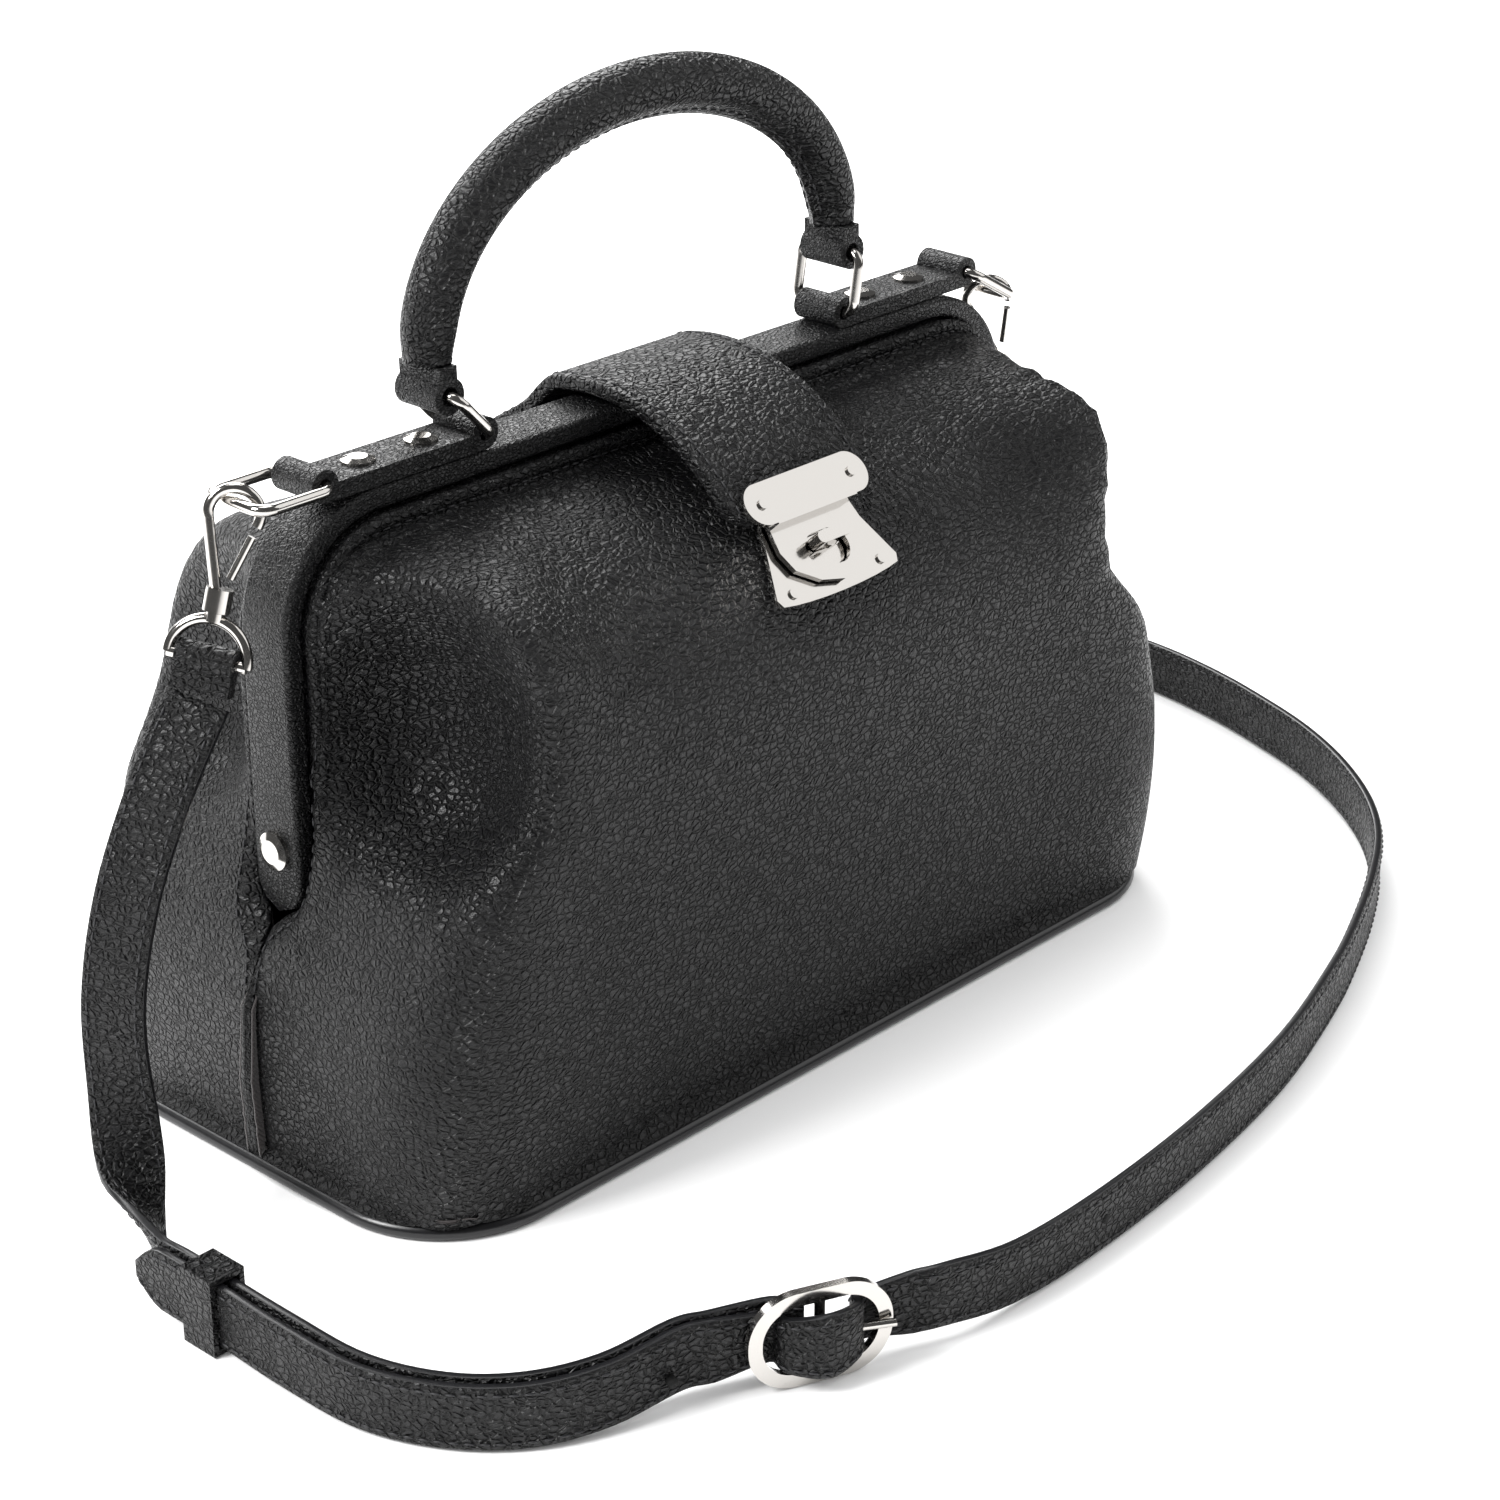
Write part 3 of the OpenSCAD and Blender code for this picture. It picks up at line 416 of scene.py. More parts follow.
def build_materials(s):
    MATERIALS.update(
        hide=leather("Hide", (0.0045, 0.0044, 0.005), 0.34, s.grain, s.relief),
        smooth=leather("Smooth hide", (0.0045, 0.0045, 0.005), 0.3, s.grain * 0.6, s.relief * 0.45, 0.2),
        edge=plain("Painted edge", (0.006, 0.006, 0.007), 0.3, noise=0.3),
        nickel=plain("Nickel", (0.56, 0.54, 0.515), s.polish, metallic=1.0),
        steel=plain("Frame steel", (0.45, 0.45, 0.46), 0.35, metallic=1.0),
        lining=twill("Lining", (0.035, 0.03, 0.03)),
        board=plain("Board", (0.22, 0.16, 0.1), 0.9, noise=0.5),
        rope=plain("Cord filler", (0.5, 0.4, 0.28), 0.95, noise=0.6),
        thread=plain("Thread", (0.012, 0.012, 0.014), 0.55),
        # Near-black for the plugs in the punched holes: painted shade.
        hole=plain("Punched hole shade", (0.001, 0.001, 0.001), 0.9),
    )


# ---------- leather body ----------


def soft_max(a, b, k):
    h = np.clip(1 - np.abs(a - b) / k, 0, None)
    return np.maximum(a, b) + h * h * k / 4


def hollow_size(p, dimple):
    """Size of a point's shell round the hollow beside the jaw's leg: 1 is the hollow's own edge."""
    x, y, z = np.abs(p[..., 0]), np.abs(p[..., 1]), p[..., 2]
    offsets = ((x - HOLLOW_X) / (HOLLOW_LEAST + dimple), (y - HOLLOW_Y) / HOLLOW_SPAN_Y,
               (z - HOLLOW_Z) / HOLLOW_SPAN_Z)
    return sum(np.abs(v) ** HOLLOW_POWER for v in offsets) ** (1 / HOLLOW_POWER)


def body_gap(p, dimple, fullness):
    """How far a point is outside the stuffed leather body, in millimetres."""
    x, y, z = np.abs(p[..., 0]), np.abs(p[..., 1]), p[..., 2]
    full = fullness * smooth_step(72, 128, x)
    depth = HALF_D + BULGE * full - BASE_TUCK * np.clip((50 - z) / 45.3, 0, 1) ** 2
    power = 2.0 + 1.3 * full
    up = np.clip(z - SHOULDER_Z, 0, None) / (CROWN_Z - SHOULDER_Z)
    side = ((y / depth) ** power + up ** power) ** (1 / power) * depth - depth
    r = PLAN_R
    qx, qy = x - (HALF_L - r), y - (depth - r)
    plan = np.hypot(np.maximum(qx, 0), np.maximum(qy, 0)) + np.minimum(np.maximum(qx, qy), 0) - r
    reach = np.interp(z, END_HEIGHTS, END_REACH)
    qx, qz = x - (reach - JAW_R), z - (CROWN_Z - JAW_R)
    end = np.hypot(np.maximum(qx, 0), np.maximum(qz, 0)) + np.minimum(np.maximum(qx, qz), 0) - JAW_R
    gap = soft_max(soft_max(plan, end, PLAN_BLEND), side, SIDE_BLEND)
    pillow = np.exp(-((y - PILLOW_Y) / 18) ** 2 - ((z - PILLOW_Z) / 22) ** 2) * smooth_step(84, 124, x)
    gap = gap - PILLOW_RISE * fullness * pillow
    return soft_max(gap, HOLLOW_STEEP * (1 - hollow_size(p, dimple)), HOLLOW_BLEND)


def cast(points, dimple, fullness):
    """Moves each point along its ray from the bag's middle onto the leather's outer face."""
    shape = points.shape[:-1]
    centre = np.stack([points[..., 0] * CENTRE_SHARE, np.zeros(shape), np.full(shape, MIDDLE_Z)], -1)
    ray = unit(points - centre)
    lo = np.zeros(shape)
    hi = np.full(shape, 190.0)
    for _ in range(34):
        mid = (lo + hi) / 2
        inside = body_gap(centre + ray * mid[..., None], dimple, fullness) < 0
        lo, hi = np.where(inside, mid, lo), np.where(inside, hi, mid)
    return centre + ray * lo[..., None]


def seam_line(half, top, r, y, count):
    """Line where a half panel meets the end seam below and its jaw above."""
    low = [(-159.3, 0.3, BASE_Z), (-160.8, 0.3, 28), (-159.3, 0.3, 50), (-153.8, 0.3, 62),
           (-148.6, 0.3, 70), (-145.6, 0.3 * y, 73.6), (-144.2, 0.75 * y, 76.6), (-half - 2.4, y, 84),
           (-half, y, 95)]
    turns = np.radians(np.arange(0, 91, 6))
    bend = [(-half + r - r * math.cos(a), y, top - r + r * math.sin(a)) for a in turns]
    line = low + bend
    line += [(-x, yy, z) for x, yy, z in reversed(line)]
    return resample(np.array(line, float), count=count)[0]


def base_line(count):
    """Half outline of the base, round one corner, along and round the other."""
    r = 34.0
    hx, hy = 159.3, 75.8
    turns = np.radians(np.arange(0, 91, 6))
    line = [(-hx, 0.3)]
    line += [(-hx + r - r * math.cos(a), hy - r + r * math.sin(a)) for a in turns]
    line += [(-x, y) for x, y in reversed(line)]
    return resample(np.array([(x, y, BASE_Z) for x, y in line], float), count=count)[0]


def ease_seam(out, start, stop):
    """Smooths the grid, then draws its first rows straight into the seam."""
    for _ in range(5):
        inner = (out[1:-1, 1:-1] * 2 + out[:-2, 1:-1] + out[2:, 1:-1] + out[1:-1, :-2] + out[1:-1, 2:]) / 6
        out[1:-1, 1:-1] = inner
    out[:, 0], out[:, -1] = start, stop
    rows = 10
    for j in range(1, rows):
        pull = (1 - j / rows) ** 2
        target = start + (out[:, rows] - start) * (j / rows)
        out[:, j] = out[:, j] * (1 - pull) + target * pull


def half_shell(side, half, top, r, seam_y, dimple, fullness, seed, across=260, down=110):
    """Grid of points over one half of the body, from its jaw down to the base. side is -1 in front."""
    start = seam_line(half, top, r, seam_y, across)
    stop = base_line(across)
    w = np.linspace(0, 1, down)[None, :, None]
    chord = start[:, None] * (1 - w) + stop[:, None] * w
    out = cast(chord, dimple, fullness)
    ease_seam(out, start, stop)
    run = np.concatenate([[0], np.cumsum(np.linalg.norm(np.diff(start, axis=0), axis=1))])[:, None]
    away = np.linalg.norm(out - start[:, None], axis=2)
    rng = np.random.default_rng(seed)
    wave = np.sin(run * 2 * np.pi / GATHER_PITCH + 2.2 * np.sin(run / 17 + seed))
    wave = wave * (0.6 + 0.4 * np.sin(run / 9.0))
    corner = np.exp(-((np.abs(start[:, :1]) - 132) / 26) ** 2) * smooth_step(70, 100, start[:, 2:3])
    gather = wave * (0.16 + 0.5 * corner) * np.exp(-away / 11) * (1 - np.exp(-away / 2.0))
    sag = 0
    for _ in range(5):
        swell = rng.uniform(0.2, 0.5)
        phase = out[..., 0] / rng.uniform(17, 34) + out[..., 2] / rng.uniform(20, 45) + rng.uniform(0, 6.28)
        sag = sag + swell * np.sin(phase)
    mask = np.exp(-((np.abs(out[..., 0]) - 128) / 34) ** 2) * smooth_step(20, 60, away)
    turn = np.arctan2(out[..., 2] - HOLLOW_Z, np.abs(out[..., 1]) - HOLLOW_Y)
    ruffle = np.sin(23 * turn + 1.6 * np.sin(5 * turn)) * (0.6 + 0.4 * np.sin(9 * turn))
    near_rim = np.exp(-((hollow_size(out, dimple) - RIM_SIZE) / RIM_SPREAD) ** 2)
    near_rim = near_rim * smooth_step(90, 100, np.abs(out[..., 0]))
    crease = RIM_CREASE * fullness * ruffle * near_rim
    yoke = YOKE_RISE * fullness * (1 - smooth_step(8.5, 10.5, away)) * smooth_step(100, 112, out[..., 2])
    out += grid_normals(out) * (gather + sag * mask * 0.5 + crease + yoke)[..., None]
    out[..., 2] = np.maximum(out[..., 2], BASE_Z)
    out[..., 1] *= side
    return out


def grid_normals(grid):
    """Outward normals of a grid of the +Y half."""
    du = np.gradient(grid, axis=0)
    dv = np.gradient(grid, axis=1)
    n = unit(np.cross(du, dv))
    out = grid - np.array([0, 0, MIDDLE_Z]) * np.ones_like(grid)
    sign = np.sign(np.sum(n * out, -1, keepdims=True))
    return n * np.where(sign == 0, 1, sign)


def half_normals(grid, side):
    mirrored = grid * np.array([1, side, 1])
    return grid_normals(mirrored) * np.array([1, side, 1])


def shell_object(name, grid, normals, depths, material):
    """Closed skin between two depths under a grid's outer face."""
    near, deep = depths
    rows, cols = grid.shape[:2]
    outer = (grid - normals * near).reshape(-1, 3)
    inner = (grid - normals * deep).reshape(-1, 3)
    base = rows * cols
    index = np.arange(base).reshape(rows, cols)
    quads = np.stack([index[:-1, :-1], index[1:, :-1], index[1:, 1:], index[:-1, 1:]], -1).reshape(-1, 4)
    edge = np.concatenate([index[0, :], index[1:, -1], index[-1, -2::-1], index[-2:0:-1, 0]])
    after = np.roll(edge, -1)
    walls = np.stack([edge, after, after + base, edge + base], 1)
    faces = np.concatenate([quads, quads[:, ::-1] + base, walls])
    return make_object(name, np.concatenate([outer, inner]), faces, material)


class BodyPanels(bpy.types.Operator):
    """Lofts the front and back leather panels and their lining"""

    bl_idname = "bag.body_panels"
    bl_label = "Body panels"

    def execute(self, context):
        s = context.scene.bag_settings
        dimple = s.dimple / MM
        back = half_shell(1, 141.6, 180.2, 33.6, 9.3, dimple * 0.6, 0.15, 4)
        normals = half_normals(back, 1)
        skin = shell_object("back_skin", back, normals, SKIN_DEPTHS, MATERIALS["hide"])
        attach(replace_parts(skin, "back_panel"), "bag")
        cloth = shell_object("back_lining", back, normals, LINING_DEPTHS, MATERIALS["lining"])
        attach(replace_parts(cloth, "lining_back"), "bag")

        front = half_shell(-1, 137.7, 179.0, 27.0, 9.8, dimple, 1.0, 11)
        normals = half_normals(front, -1)
        skin = shell_object("front_skin", front, normals, SKIN_DEPTHS, MATERIALS["hide"])
        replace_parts(skin, "front_panel_lower", "front_panel_upper")
        cloth = shell_object("front_lining", front, normals, LINING_DEPTHS, MATERIALS["lining"])
        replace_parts(cloth, "lining_front")
        for piece, slot in ((skin, "black_leather"), (cloth, "lining_cloth")):
            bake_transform(piece)
        PATHS["front_seam"] = offset_row(front, normals, 3, 0.2)
        PATHS["back_seam"] = offset_row(back, half_normals(back, 1), 7, 0.25)
        return {"FINISHED"}


def offset_row(grid, normals, row, lift):
    return grid[:, row] + normals[:, row] * lift


# ---------- jaws and welts ----------


def jaw_object(name, half, top, r, thick, span, material):
    """Arch of rounded section that lies between the two y values in span, with rounded feet."""
    y0, y1 = span
    line, normal, s = arch_line(half, top, r, FOOT_Z, 2.2)
    w = (y1 - y0) / 2
    edge = np.minimum(s, s[-1] - s)
    width = np.where(edge < w, np.sqrt(np.maximum(w * w - (w - edge) ** 2, 0.04)), w)
    shape = rounded(w, thick / 2, 1.5, 5)
    rings = np.repeat(shape[None], len(line), 0).copy()
    rings[..., 0] *= (width / w)[:, None]
    line = line + np.array([0, (y0 + y1) / 2, 0])
    points = sweep(line, np.tile([0.0, 1.0, 0.0], (len(line), 1)), normal, rings)
    return make_object(name, points, tube_faces(len(line), len(shape)), material)


def rope(name, line, normal, seed=0.0):
    """Leather-covered welt cord whose cover is gathered along its length."""
    s = np.concatenate([[0], np.cumsum(np.linalg.norm(np.diff(line, axis=0), axis=1))])
    sides = 14
    a = np.arange(sides) * 2 * np.pi / sides
    swell = 1 + WELT_RIPPLE * np.sin(s * 2 * np.pi / WELT_PITCH + 1.5 * np.sin(s / 13 + seed))
    circle = np.stack([np.cos(a), np.sin(a)], 1)[None] * (WELT_R * swell)[:, None, None]
    points = sweep(line, np.tile([0.0, 1.0, 0.0], (len(line), 1)), normal, circle)
    return make_object(name, points, tube_faces(len(line), sides), MATERIALS["hide"])


class Jaws(bpy.types.Operator):
    """Builds the leather-covered jaws and the gathered welts beside them"""

    bl_idname = "bag.jaws"
    bl_label = "Jaws and welts"

    def execute(self, context):
        smooth = MATERIALS["smooth"]
        outer = jaw_object("outer_jaw", OUTER_MID, OUTER_TOP, OUTER_R, OUTER_T, OUTER_Y, smooth)
        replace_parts(outer, "back_frame_cover", "back_frame_bar")
        inner = jaw_object("inner_jaw", INNER_MID, INNER_TOP, INNER_R, INNER_T, INNER_Y, smooth)
        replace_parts(inner, "front_frame_cover", "front_frame_bar")

        line, normal, _ = arch_line(137.6, 178.9, 27.2, WELT_FOOT, WELT_STEP)
        front = rope("front_welt_cord", line + np.array([0, -11.2, 0]), normal)
        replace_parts(front, "front_welt")
        line, normal, _ = arch_line(141.8, 180.2, 33.0, WELT_FOOT, WELT_STEP)
        back = rope("back_welt_cord", line + np.array([0, 10.8, 0]), normal, 2.0)
        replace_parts(back, "back_welt")
        for piece, body in ((outer, "bag"), (inner, "front_jaw"), (front, "front_jaw"), (back, "bag")):
            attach(piece, body)
        return {"FINISHED"}


# ---------- flap ----------


def flap_line():
    """Middle line of the flap from the hasp to the back panel, its normals and its distances."""
    arc = [(FLAP_Y - FLAP_MID_R * math.cos(a), FLAP_Z + FLAP_MID_R * math.sin(a))
           for a in np.radians(np.linspace(FLAP_FRONT_A, FLAP_BACK_A, 29))]
    path = spline([(0, y, z) for y, z in arc + FLAP_TAIL], 3)
    path, s = resample(path, spacing=1.6)
    tangent = unit(np.gradient(path, axis=0))
    normal = np.stack([np.zeros(len(path)), -tangent[:, 2], tangent[:, 1]], 1)
    normal *= np.sign(normal[:, 2:3])
    return path, normal, s


class Flap(bpy.types.Operator):
    """Builds the closing flap as one strap of leather from the back panel to the hasp"""

    bl_idname = "bag.flap"
    bl_label = "Flap"

    def execute(self, context):
        path, normal, s = flap_line()
        shape = rounded(FLAP_W / 2, FLAP_T / 2, 1.3, 4)
        width = np.ones(len(s))
        for distance, radius, loss in ((s[-1] - s, 7, 0.12), (s, 8, 0.28)):
            inset = np.clip(distance / radius, 0, 1)
            width *= 1 - loss * (1 - np.sqrt(1 - (1 - inset) ** 2 + 1e-9))
        rings = np.repeat(shape[None], len(path), 0).copy()
        rings[..., 0] *= width[:, None]
        points = sweep(path, np.tile([1.0, 0, 0], (len(path), 1)), normal, rings)
        flap = make_object("flap_leather", points, tube_faces(len(path), len(shape)), MATERIALS["hide"])
        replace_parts(flap, "flap_root", "flap_end")
        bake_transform(flap)
        lift = FLAP_T / 2 + 0.1
        seam_x = FLAP_W / 2 - FLAP_SEAM_INSET
        PATHS["flap"] = [(path + normal * lift)[3:-3] + np.array([x, 0, 0]) for x in (-seam_x, seam_x)]
        return {"FINISHED"}


# ---------- handle ----------


def grip_line(count):
    """Middle line of the grip from left to right, with its outward normals."""
    a = np.linspace(math.pi, 0.0, count)
    span = np.linalg.norm(RIGHT_PIVOT - LEFT_PIVOT)
    tilt = math.atan2(*(RIGHT_PIVOT - LEFT_PIVOT)[::-1])
    mid = (LEFT_PIVOT + RIGHT_PIVOT) / 2
    x = span / 2 * np.cos(a)
    z = GRIP_FOOT + GRIP_RISE * np.sin(a)
    line = np.stack([mid[0] + x * math.cos(tilt) - z * math.sin(tilt), np.zeros(count),
                     mid[1] + x * math.sin(tilt) + z * math.cos(tilt)], 1)
    tangent = unit(np.gradient(line, axis=0))
    normal = np.stack([-tangent[:, 2], np.zeros(count), tangent[:, 0]], 1)
    return line, normal


class Grip(bpy.types.Operator):
    """Builds the padded grip with the sewn ridge along its inner side"""

    bl_idname = "bag.grip"
    bl_label = "Grip"

    def execute(self, context):
        line, normal = grip_line(GRIP_STATIONS)
        t = np.linspace(0, 1, GRIP_STATIONS)
        ends = np.exp(-(np.minimum(t, 1 - t) / 0.035) ** 2)
        radius = GRIP_R - 1.0 * ends + 0.25 * np.sin(np.pi * t)
        a = np.arange(GRIP_SIDES) * 2 * np.pi / GRIP_SIDES
        down = np.exp(-((a - 1.5 * np.pi) / 0.2) ** 2)
        shape = 1 + 0.17 * down
        circle = np.stack([np.cos(a) * shape, np.sin(a) * shape], 1)[None] * radius[:, None, None]
        points = sweep(line, np.tile([0.0, 1.0, 0.0], (GRIP_STATIONS, 1)), normal, circle)
        faces = tube_faces(GRIP_STATIONS, GRIP_SIDES)
        grip = make_object("grip_leather", points, faces, MATERIALS["hide"])
        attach(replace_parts(grip, "handle_grip", "handle_core"), "handle")
        keep = slice(6, -6)
        PATHS["grip"] = [
            (line - normal * (radius * 0.98)[:, None])[keep] + np.array([0, y, 0]) for y in (-2.6, 2.6)]
        return {"FINISHED"}


# ---------- shoulder strap ----------


def strap_path(route, steps):
    """Middle line, width direction, normal and width share along a route."""
    rows = [(*p, *w, share) for p, w, share in route]
    path = spline(rows, steps)
    middle = path[:, :3]
    tangent = unit(np.gradient(middle, axis=0))
    wide = path[:, 3:6]
    wide = unit(wide - np.sum(wide * tangent, 1, keepdims=True) * tangent)
    normal = np.cross(tangent, wide)
    return middle, wide, normal, path[:, 6]


def strap_object(name, route, material):
    steps = 6
    middle, wide, normal, share = strap_path(route, steps)
    half, thick = STRAP_HALF, STRAP_THICK / 2
    corner = [(1, 0.42), (0.985, 0.68), (0.94, 0.9), (0.86, 0.98), (0.5, 1)]
    face = corner + [(0, 1.0)] + [(-x, y) for x, y in reversed(corner)]
    shape = np.array(face + [(x, -y) for x, y in reversed(face)])
    rings = np.repeat(shape[None] * np.array([half, thick]), len(middle), 0).copy()
    rings[..., 0] *= np.clip(share, 0.2, 1)[:, None]
    points = sweep(middle, wide, normal, rings)
    sides = len(shape)
    rows = len(middle)
    edge_columns = {0, 9, 10, 11, 20, 21}
    edges = [i * sides + j for i in range(rows - 1) for j in edge_columns]
    obj = make_object(name, points, tube_faces(rows, sides), material, [(MATERIALS["edge"], edges)])
    stitches = []
    for s in (-1, 1):
        for f in (-1, 1):
            line = middle + wide * (s * (half - SEAM_INSET) * share)[:, None] + normal * (f * (thick + 0.05))
            stitches.append(line[2:-2])
    return obj, middle, stitches


class ShoulderStrap(bpy.types.Operator):
    """Builds the two pieces of the shoulder strap, with painted edges and punched holes; the holes hold
    near-black plugs of painted shade
    """

    bl_idname = "bag.shoulder_strap"
    bl_label = "Shoulder strap"

    def execute(self, context):
        PATHS["strap"] = []
        for name, route, node, far_end, along in (
            ("short_strap", SHORT_ROUTE, "shoulder_strap_short", "fitting",
             ["buckle_frame", "buckle_prong"]),
            ("long_strap", LONG_ROUTE, "shoulder_strap_long", "bare", ["strap_keeper"]),
        ):
            obj, middle, stitches = strap_object(name, route, MATERIALS["hide"])
            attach(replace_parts(obj, node), "bag")
            path = middle * MM
            start = path[0] if node.endswith("short") else path[-1]
            PATHS["strap"] += stitches
        holes = []
        faces = []
        for x, y, turn in STRAP_HOLES:
            a = math.radians(turn)
            out = np.array([math.sin(a), -math.cos(a), 0])
            side = np.array([math.cos(a), math.sin(a), 0])
            middle = np.array([x, y, HOLE_MIDDLE_Z])
            up = np.array([0, 0, 1])
            ring = [middle + out * (HOLE_DEPTH / 2) + HOLE_R * (side * math.cos(b) + up * math.sin(b))
                    for b in np.linspace(0, 2 * np.pi, HOLE_SIDES, endpoint=False)]
            start = len(holes)
            holes += ring + [p - out * HOLE_DEPTH for p in ring]
            faces += [[start + k for k in f] for f in tube_faces(2, HOLE_SIDES)]
        # Near-black plugs in the punched holes: painted shade for the holes' insides.
        obj = make_object("strap_holes", holes, faces, MATERIALS["hole"])
        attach(obj, "bag")
        return {"FINISHED"}


# ---------- stitching ----------


def stitch_tree():
    """Geometry Nodes tree that sets one small stitch at each step along the input edges."""
    tree = bpy.data.node_groups.new("Stitches", "GeometryNodeTree")
    face = tree.interface
    face.new_socket("Geometry", in_out="INPUT", socket_type="NodeSocketGeometry")
    for name in ("Pitch", "Length", "Radius"):
        face.new_socket(name, in_out="INPUT", socket_type="NodeSocketFloat")
    face.new_socket("Material", in_out="INPUT", socket_type="NodeSocketMaterial")
    face.new_socket("Geometry", in_out="OUTPUT", socket_type="NodeSocketGeometry")
    n = Nodes(tree)
    given = n.add("NodeGroupInput")
    curve = n.add("GeometryNodeMeshToCurve", {"Mesh": given.outputs["Geometry"]})
    steps = n.add("GeometryNodeResampleCurve", {
        "Curve": curve.outputs["Curve"], "Length": given.outputs["Pitch"]}, mode="LENGTH")
    size = n.add("ShaderNodeCombineXYZ", {"X": given.outputs["Radius"], "Y": given.outputs["Radius"],
                                          "Z": given.outputs["Length"]})
    bead = n.add("GeometryNodeMeshUVSphere", {"Segments": 6, "Rings": 4, "Radius": 1.0})
    turn = n.add("FunctionNodeAlignEulerToVector", {"Vector": n.add("GeometryNodeInputTangent").outputs[0]},
                 axis="Z")
    placed = n.add("GeometryNodeInstanceOnPoints", {
        "Points": steps.outputs["Curve"], "Instance": bead.outputs["Mesh"],
        "Rotation": turn.outputs["Rotation"], "Scale": size.outputs[0]})
    real = n.add("GeometryNodeRealizeInstances", {"Geometry": placed.outputs["Instances"]})
    dressed = n.add("GeometryNodeSetMaterial", {"Geometry": real.outputs["Geometry"],
                                                "Material": given.outputs["Material"]})
    n.add("NodeGroupOutput", {"Geometry": dressed.outputs["Geometry"]})
    return tree


def stitch_object(name, paths, tree, pitch):
    """Runs the stitch tree along some paths and keeps the result as a plain mesh."""
    points, edges = [], []
    for path in paths:
        start = len(points)
        points += [(p * MM).tolist() for p in np.asarray(path)]
        edges += [(k, k + 1) for k in range(start, len(points) - 1)]
    guide = bpy.data.meshes.new(name + " guide")
    guide.from_pydata(points, edges, [])
    obj = bpy.data.objects.new(name, guide)
    bpy.context.scene.collection.objects.link(obj)
    modifier = obj.modifiers.new("Stitches", "NODES")
    modifier.node_group = tree
    given = {"Pitch": pitch, "Length": pitch * 0.36, "Radius": 0.00036, "Material": MATERIALS["thread"]}
    for item in tree.interface.items_tree:
        if item.in_out == "INPUT" and item.name in given:
            modifier[item.identifier] = given[item.name]
    bpy.context.view_layer.update()
    done = obj.evaluated_get(bpy.context.evaluated_depsgraph_get())
    mesh = bpy.data.meshes.new_from_object(done)
    obj.modifiers.clear()
    obj.data = mesh
    mesh.polygons.foreach_set("use_smooth", [True] * len(mesh.polygons))
    if not len(mesh.polygons):
        raise RuntimeError(name + " has no stitches")
    return obj


class Stitching(bpy.types.Operator):
    """Sews along the flap, panels, grip and straps"""

    bl_idname = "bag.stitching"
    bl_label = "Stitching"

    def execute(self, context):
        pitch = context.scene.bag_settings.pitch
        tree = stitch_tree()
        bag = PATHS["strap"] + [PATHS["back_seam"]]
        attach(stitch_object("bag_stitches", bag, tree, pitch), "bag")
        grip = stitch_object("grip_stitches", PATHS["grip"], tree, pitch)
        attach(grip, "handle")
        flap = stitch_object("flap_stitches", PATHS["flap"], tree, pitch)
        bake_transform(flap)
        front = stitch_object("front_stitches", [PATHS["front_seam"]], tree, pitch)
        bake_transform(front)
        return {"FINISHED"}


# ---------- materials on the CAD nodes ----------


NODE_LOOKS = {
    "bottom_panel": "hide", "base_board": "board", "base_piping": "edge", "top_strap_left": "smooth",
    "top_strap_right": "smooth", "handle_tab_left": "smooth", "handle_tab_right": "smooth",
    "strap_end_left": "hide", "strap_end_right": "hide", "strap_keeper": "hide", "lock_backing": "steel",
}


class Hardware(bpy.types.Operator):
    """Gives the nodes that stay as they are their leather, board and nickel"""

    bl_idname = "bag.hardware"
    bl_label = "Hardware"

    def execute(self, context):
        for name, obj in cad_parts.items():
            material = MATERIALS[NODE_LOOKS.get(name, "nickel")]
            for slot in obj.material_slots:
                slot.material = material
            if not obj.material_slots:
                raise RuntimeError(name + " has no material slot")
        return {"FINISHED"}


# ---------- stage ----------


CAMERA_PLACE = (-0.6631, -0.6522, 0.4995)
CAMERA_TURN = math.radians(47.1436)
CAMERA_DIP = math.radians(24.6745)
CAMERA_LENS = 83.11
FLOOR_REACH = 6.0

# Area lights: name, place, point they face, sizes in metres, watts
SOFTBOXES = (
    ("Key", (-1.6, 0.5, 1.5), (0, 0, 0.1), (0.8, 0.8), 60),
    ("Front", (1.5, -0.9, 1.4), (0, 0, 0.15), (2.0, 1.8), 15),
    ("Above", (0, 0.2, 2.2), (0, 0, 0.1), (1.2, 0.8), 9),
    ("Back", (0.5, 1.5, 1.2), (0, 0, 0.15), (2.2, 1.2), 58),
)


def softbox(name, place, aim, size, power):
    light = bpy.data.lights.new(name, "AREA")
    light.shape = "RECTANGLE"
    light.size, light.size_y = size
    light.energy = power
    obj = bpy.data.objects.new(name, light)
    bpy.context.scene.collection.objects.link(obj)
    obj.location = place
    obj.rotation_euler = (Vector(aim) - Vector(place)).to_track_quat("-Z", "Y").to_euler()


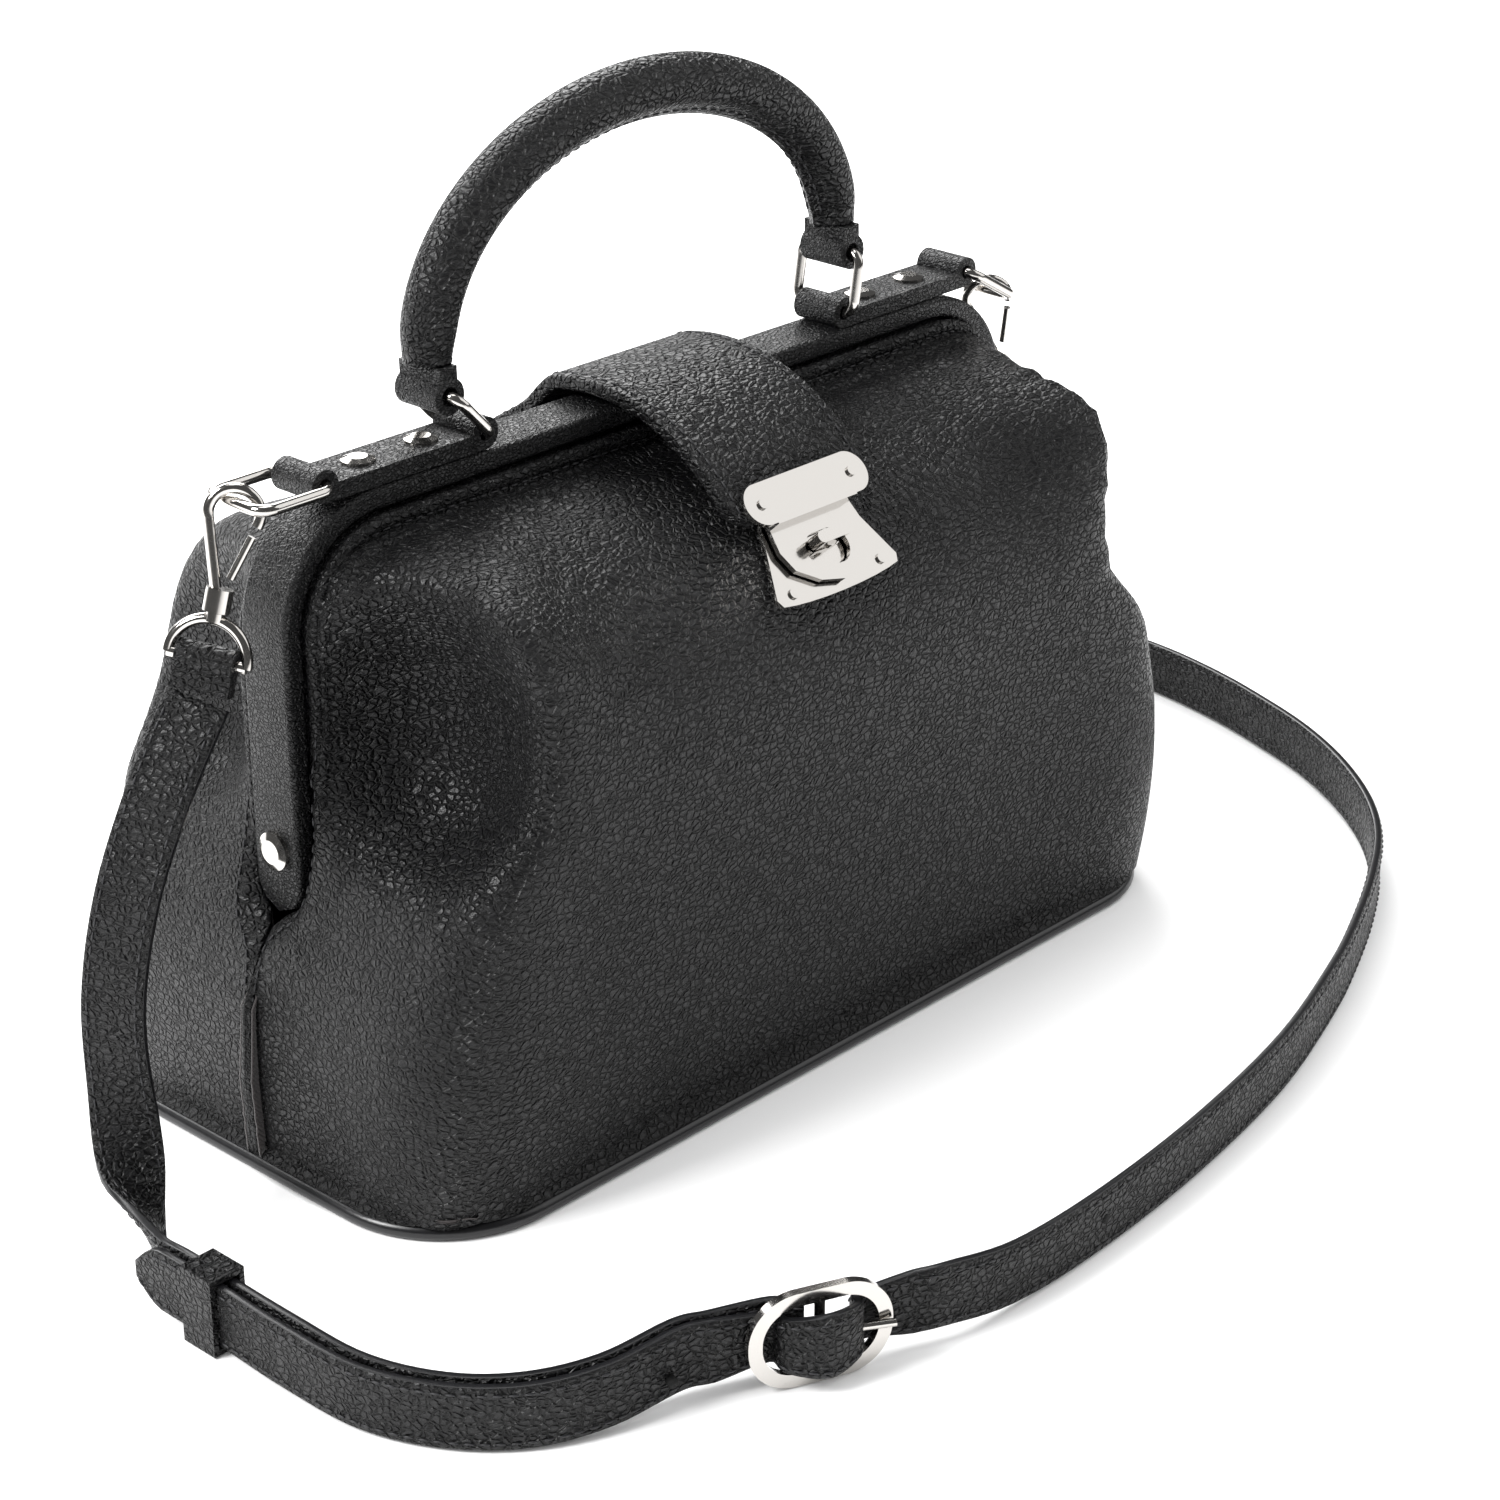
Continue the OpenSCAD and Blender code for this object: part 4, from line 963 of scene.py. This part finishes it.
class Stage(bpy.types.Operator):
    """Sets up the pale floor, the soft lights and the camera"""

    bl_idname = "bag.stage"
    bl_label = "Stage"

    def execute(self, context):
        scene = context.scene
        corners = [(x * FLOOR_REACH, y * FLOOR_REACH, 0) for x, y in ((-1, -1), (1, -1), (1, 1), (-1, 1))]
        floor = bpy.data.meshes.new("Floor")
        floor.from_pydata(corners, [], [(0, 1, 2, 3)])
        material, n = new_material("Floor white")
        shader = n.add("ShaderNodeBsdfPrincipled", {
            "Base Color": (0.9, 0.9, 0.9, 1), "Roughness": 0.75, "Specular IOR Level": 0.2})
        n.add("ShaderNodeOutputMaterial", {"Surface": shader.outputs[0]})
        floor.materials.append(material)
        obj = bpy.data.objects.new("Floor", floor)
        scene.collection.objects.link(obj)

        world = bpy.data.worlds.new("Studio")
        world.use_nodes = True
        world.node_tree.nodes.clear()
        n = Nodes(world.node_tree)
        glossy = n.add("ShaderNodeLightPath").outputs["Is Glossy Ray"]
        strength = n.add("ShaderNodeMapRange", {"Value": glossy, "To Min": 1.0, "To Max": 0.1})
        glow = n.add("ShaderNodeBackground", {"Color": (1, 1, 1, 1), "Strength": strength.outputs["Result"]})
        n.add("ShaderNodeOutputWorld", {"Surface": glow.outputs[0]})
        scene.world = world
        for light in SOFTBOXES:
            softbox(*light)
        scene.view_settings.view_transform = "Standard"

        cam = bpy.data.cameras.new("Camera")
        cam.lens = CAMERA_LENS
        cam.sensor_width = 36
        cam.sensor_fit = "HORIZONTAL"
        cam.clip_start = 0.05
        cam.clip_end = 50
        obj = bpy.data.objects.new("Camera", cam)
        scene.collection.objects.link(obj)
        level = math.cos(CAMERA_DIP)
        ahead = Vector((math.sin(CAMERA_TURN) * level, math.cos(CAMERA_TURN) * level, -math.sin(CAMERA_DIP)))
        right = Vector((math.cos(CAMERA_TURN), -math.sin(CAMERA_TURN), 0))
        up = right.cross(ahead)
        turn = Matrix((right, up, -ahead)).transposed()
        obj.matrix_world = Matrix.Translation(Vector(CAMERA_PLACE)) @ turn.to_4x4()
        scene.camera = obj
        return {"FINISHED"}


# ---------- panel and registration ----------


STEPS = (BodyPanels, Jaws, Flap, Grip, ShoulderStrap, Stitching, Hardware, Stage)


class BagPanel(bpy.types.Panel):
    """Buttons for the bag's pieces"""

    bl_idname = "VIEW3D_PT_doctor_bag"
    bl_label = "Doctor bag"
    bl_space_type = "VIEW_3D"
    bl_region_type = "UI"
    bl_category = "Doctor bag"

    def draw(self, context):
        for name in BagSettings.__annotations__:
            self.layout.prop(context.scene.bag_settings, name)
        for step in STEPS:
            self.layout.operator(step.bl_idname)


CLASSES = (BagSettings, *STEPS, BagPanel)


def register():
    for cls in CLASSES:
        bpy.utils.register_class(cls)
    bpy.types.Scene.bag_settings = bpy.props.PointerProperty(type=BagSettings)


def unregister():
    del bpy.types.Scene.bag_settings
    for cls in reversed(CLASSES):
        bpy.utils.unregister_class(cls)


def main():
    register()
    build_materials(bpy.context.scene.bag_settings)
    for step in STEPS:
        group, name = step.bl_idname.split(".")
        if getattr(getattr(bpy.ops, group), name)() != {"FINISHED"}:
            raise RuntimeError(step.bl_label + " did not finish")


if __name__ == "__main__":
    main()
